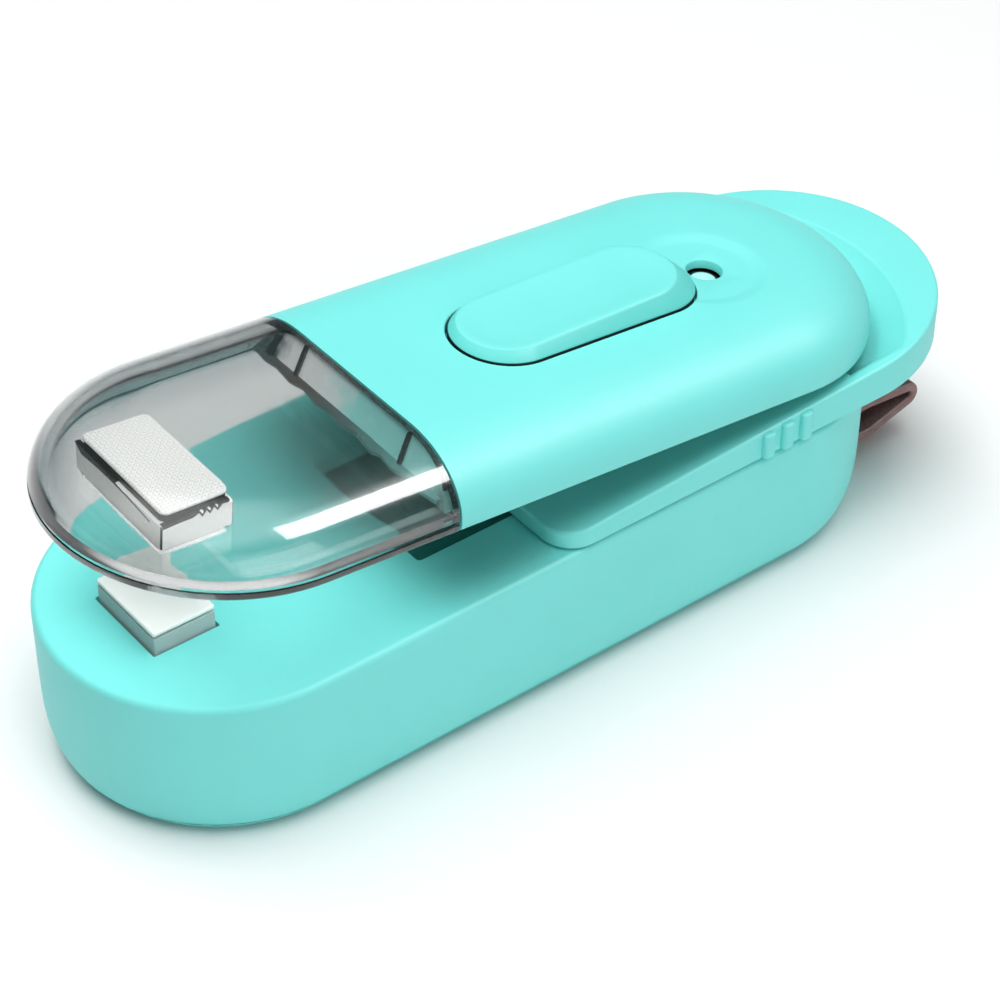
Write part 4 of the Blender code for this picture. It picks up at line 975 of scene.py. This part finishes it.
def make_cap():
    """Cap under its woven cover: rounded edges and a slightly crowned top."""
    cap = level_box("heater_cap")
    low, top = cap[0].z, cap[1].z
    margin, radius = cap[1].x - HEAD_X - 0.03 * MM, 0.9 * MM
    edge, swell = 0.25 * MM, 0.12 * MM

    def ring(across):
        return head_ring(margin - edge * across, radius - edge * across * 0.8)

    levels = [(ring(across), low + edge - edge * up) for across, up in reversed(fillet(4))]
    levels += [(ring(across), top - swell - edge + edge * up) for across, up in fillet(4)]
    for share in (0.2, 0.45, 0.75):
        inset = margin - edge - 2.6 * MM * share
        levels.append((head_ring(inset, radius * (1 - share * 0.5)), top - swell * (1 - share) ** 2))
    made = loft("heater_cap_woven", levels)
    show(made, "press_arm", "woven_sheet", "heater_cap", on_arm=True)


def make_wave_spring():
    """Flat spring bent into waves, between the heater core and the cap."""
    low, high = (corner.z for corner in level_box("heater_spring"))
    thick, reach = 0.2 * MM, HEAD_HALF_Y - 0.3 * MM
    waves, steps = 3, 48
    middle, swing = (low + high) / 2, (high - low - thick) / 2
    line = []
    for i in range(steps + 1):
        turn = math.tau * waves * i / steps
        line.append((HEAD_Y - reach + 2 * reach * i / steps, middle - swing * math.cos(turn)))
    rings = []
    for x in (-6.5 * MM, 6.5 * MM):
        rings.append([(x, y, z - thick / 2) for y, z in line]
                     + [(x, y, z + thick / 2) for y, z in reversed(line)])
    made = bridge("heater_wave_spring", rings)
    show(made, "press_arm", "spring_steel", "heater_spring", on_arm=True)
    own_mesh(made)


def make_ptfe_sheet():
    """Thin cover of the heater's face."""
    low, high = (corner.z for corner in level_box("ptfe_sheet"))
    sheet = prism("heater_face_sheet", head_ring(0.0, 0.5 * MM), low, high)
    soften(sheet, 0.08 * MM)
    show(sheet, "heater_head", "woven_sheet", "ptfe_sheet", on_arm=True)


# ---------------------------------------------------------------- springs and strap

def coil(name, radius, wire, low, high, turns, centre):
    """Compression spring of round wire with closed ends."""
    sides, steps = 10, int(28 * turns)
    dead, pitch = 0.9, 2.05 * wire                 # closed turns at each end and their rise
    start, end = low + wire, high - wire
    active = end - start - 2 * dead * pitch
    rings = []
    for i in range(steps + 1):
        turn = turns * i / steps
        first, last = min(turn, dead), max(0.0, turn - (turns - dead))
        middle_share = (turn - first - last) / (turns - 2 * dead)
        z = start + (first + last) * pitch + active * middle_share
        angle = math.tau * turn
        out = Vector((math.cos(angle), math.sin(angle), 0))
        middle = out * radius + Vector((centre[0], centre[1], z))
        rings.append([middle + wire * (math.cos(a) * out + math.sin(a) * Vector((0, 0, 1)))
                      for a in (math.tau * k / sides for k in range(sides))])
    return bridge(name, rings)


def make_springs():
    """The arm's return spring and the button's spring."""
    low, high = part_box("return_spring")
    wire = 0.35 * MM
    centre = ((low.x + high.x) / 2, 14 * MM)
    made = coil("arm_return_coil", 3.3 * MM, wire, low.z, high.z, 6, centre)
    show(made, "base", "spring_steel", "return_spring")
    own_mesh(made)
    low, high = level_box("button_spring")
    made = coil("button_coil", 3.9 * MM, 0.25 * MM, low.z, high.z, 4,
                (BUTTON_X, (low.y + high.y) / 2))
    show(made, "press_arm", "spring_steel", "button_spring", on_arm=True)
    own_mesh(made)


def touching(one, other):
    """Normals, in degrees, of the upper and lower lines that touch two circles in (y, z)."""
    (y0, z0), r0 = one
    (y1, z1), r1 = other
    lean = math.degrees(math.atan2(z0 - z1, y0 - y1))
    swing = math.degrees(math.asin((r1 - r0) / math.dist((y0, z0), (y1, z1))))
    return lean + 90 - swing, lean - 90 + swing


def strap_line(thick):
    """(centre, normal angle, radius) along the band's middle line: fold, belly and bar."""
    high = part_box("strap_loop")[1]
    bar = middle_of("strap_bar")
    fold_r, belly_r, bar_r = 0.5 * MM, 1.7 * MM, 1.5 * MM
    fold = ((high.y - fold_r - thick, 6.5 * MM), fold_r)
    belly = ((54.2 * MM, 5.9 * MM), belly_r)
    bar = ((bar.y, bar.z), bar_r)
    up0, down0 = touching(fold, belly)
    up1, down1 = touching(belly, bar)
    line = []
    for (centre, radius), start, end, steps in ((fold, down0, up0, 20), (belly, up0, up1, 6),
                                                (bar, up1, down1 + 360, 20), (belly, down1, down0, 6)):
        line += [(centre, start + (end - start) * k / steps, radius + thick / 2)
                 for k in range(steps + 1)]
    return line


def make_strap():
    """Leather-like band round its bar, folded almost flat at its outer end."""
    half, thick, edge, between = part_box("strap_loop")[1].x, 1.2 * MM, 0.4 * MM, 8
    points = []
    for (y, z), angle, radius in strap_line(thick):
        out = Vector((0, math.cos(math.radians(angle)), math.sin(math.radians(angle))))
        points.append((Vector((0, y, z)) + out * radius, out))
    rings = []
    for (point, out), (after, out_after) in zip(points, points[1:] + points[:1]):
        far = (after - point).length > 1.5 * MM
        for k in range(between if far else 1):
            share = k / between
            middle = point.lerp(after, share)
            normal = out.lerp(out_after, share).normalized()
            rings.append([middle + Vector((x, 0, 0)) + normal * z
                          for x, z in rounded(half, thick / 2, edge, steps=4)])
    strap = bridge("wrist_strap_loop", rings, closed=True)
    show(strap, "base", "strap_leather", "strap_loop",
         paints=[(STRAP_EDGE, lambda place, normal: abs(place.x) > half - 0.9 * edge)])


# ---------------------------------------------------------------- the rest

def finish_cad_nodes():
    """Gives every CAD node its procedural material, from the material that it came with."""
    for obj in frame["nodes"].values():
        look = LOOKS[obj.material_slots[0].material.name.split(".")[0]]
        if obj.name.startswith("heater_lead"):
            look = LEAD_FILM
        for slot in obj.material_slots:
            slot.material = look


make_camera()
make_lights()
make_sky()
make_floor()
finish_cad_nodes()
make_base_tub()
make_pad()
make_slide()
make_arm_casing()
make_nose()
make_bulkhead()
make_button()
make_lens()
make_holder()
make_cap()
make_wave_spring()
make_ptfe_sheet()
make_springs()
make_strap()

bpy.context.view_layer.update()
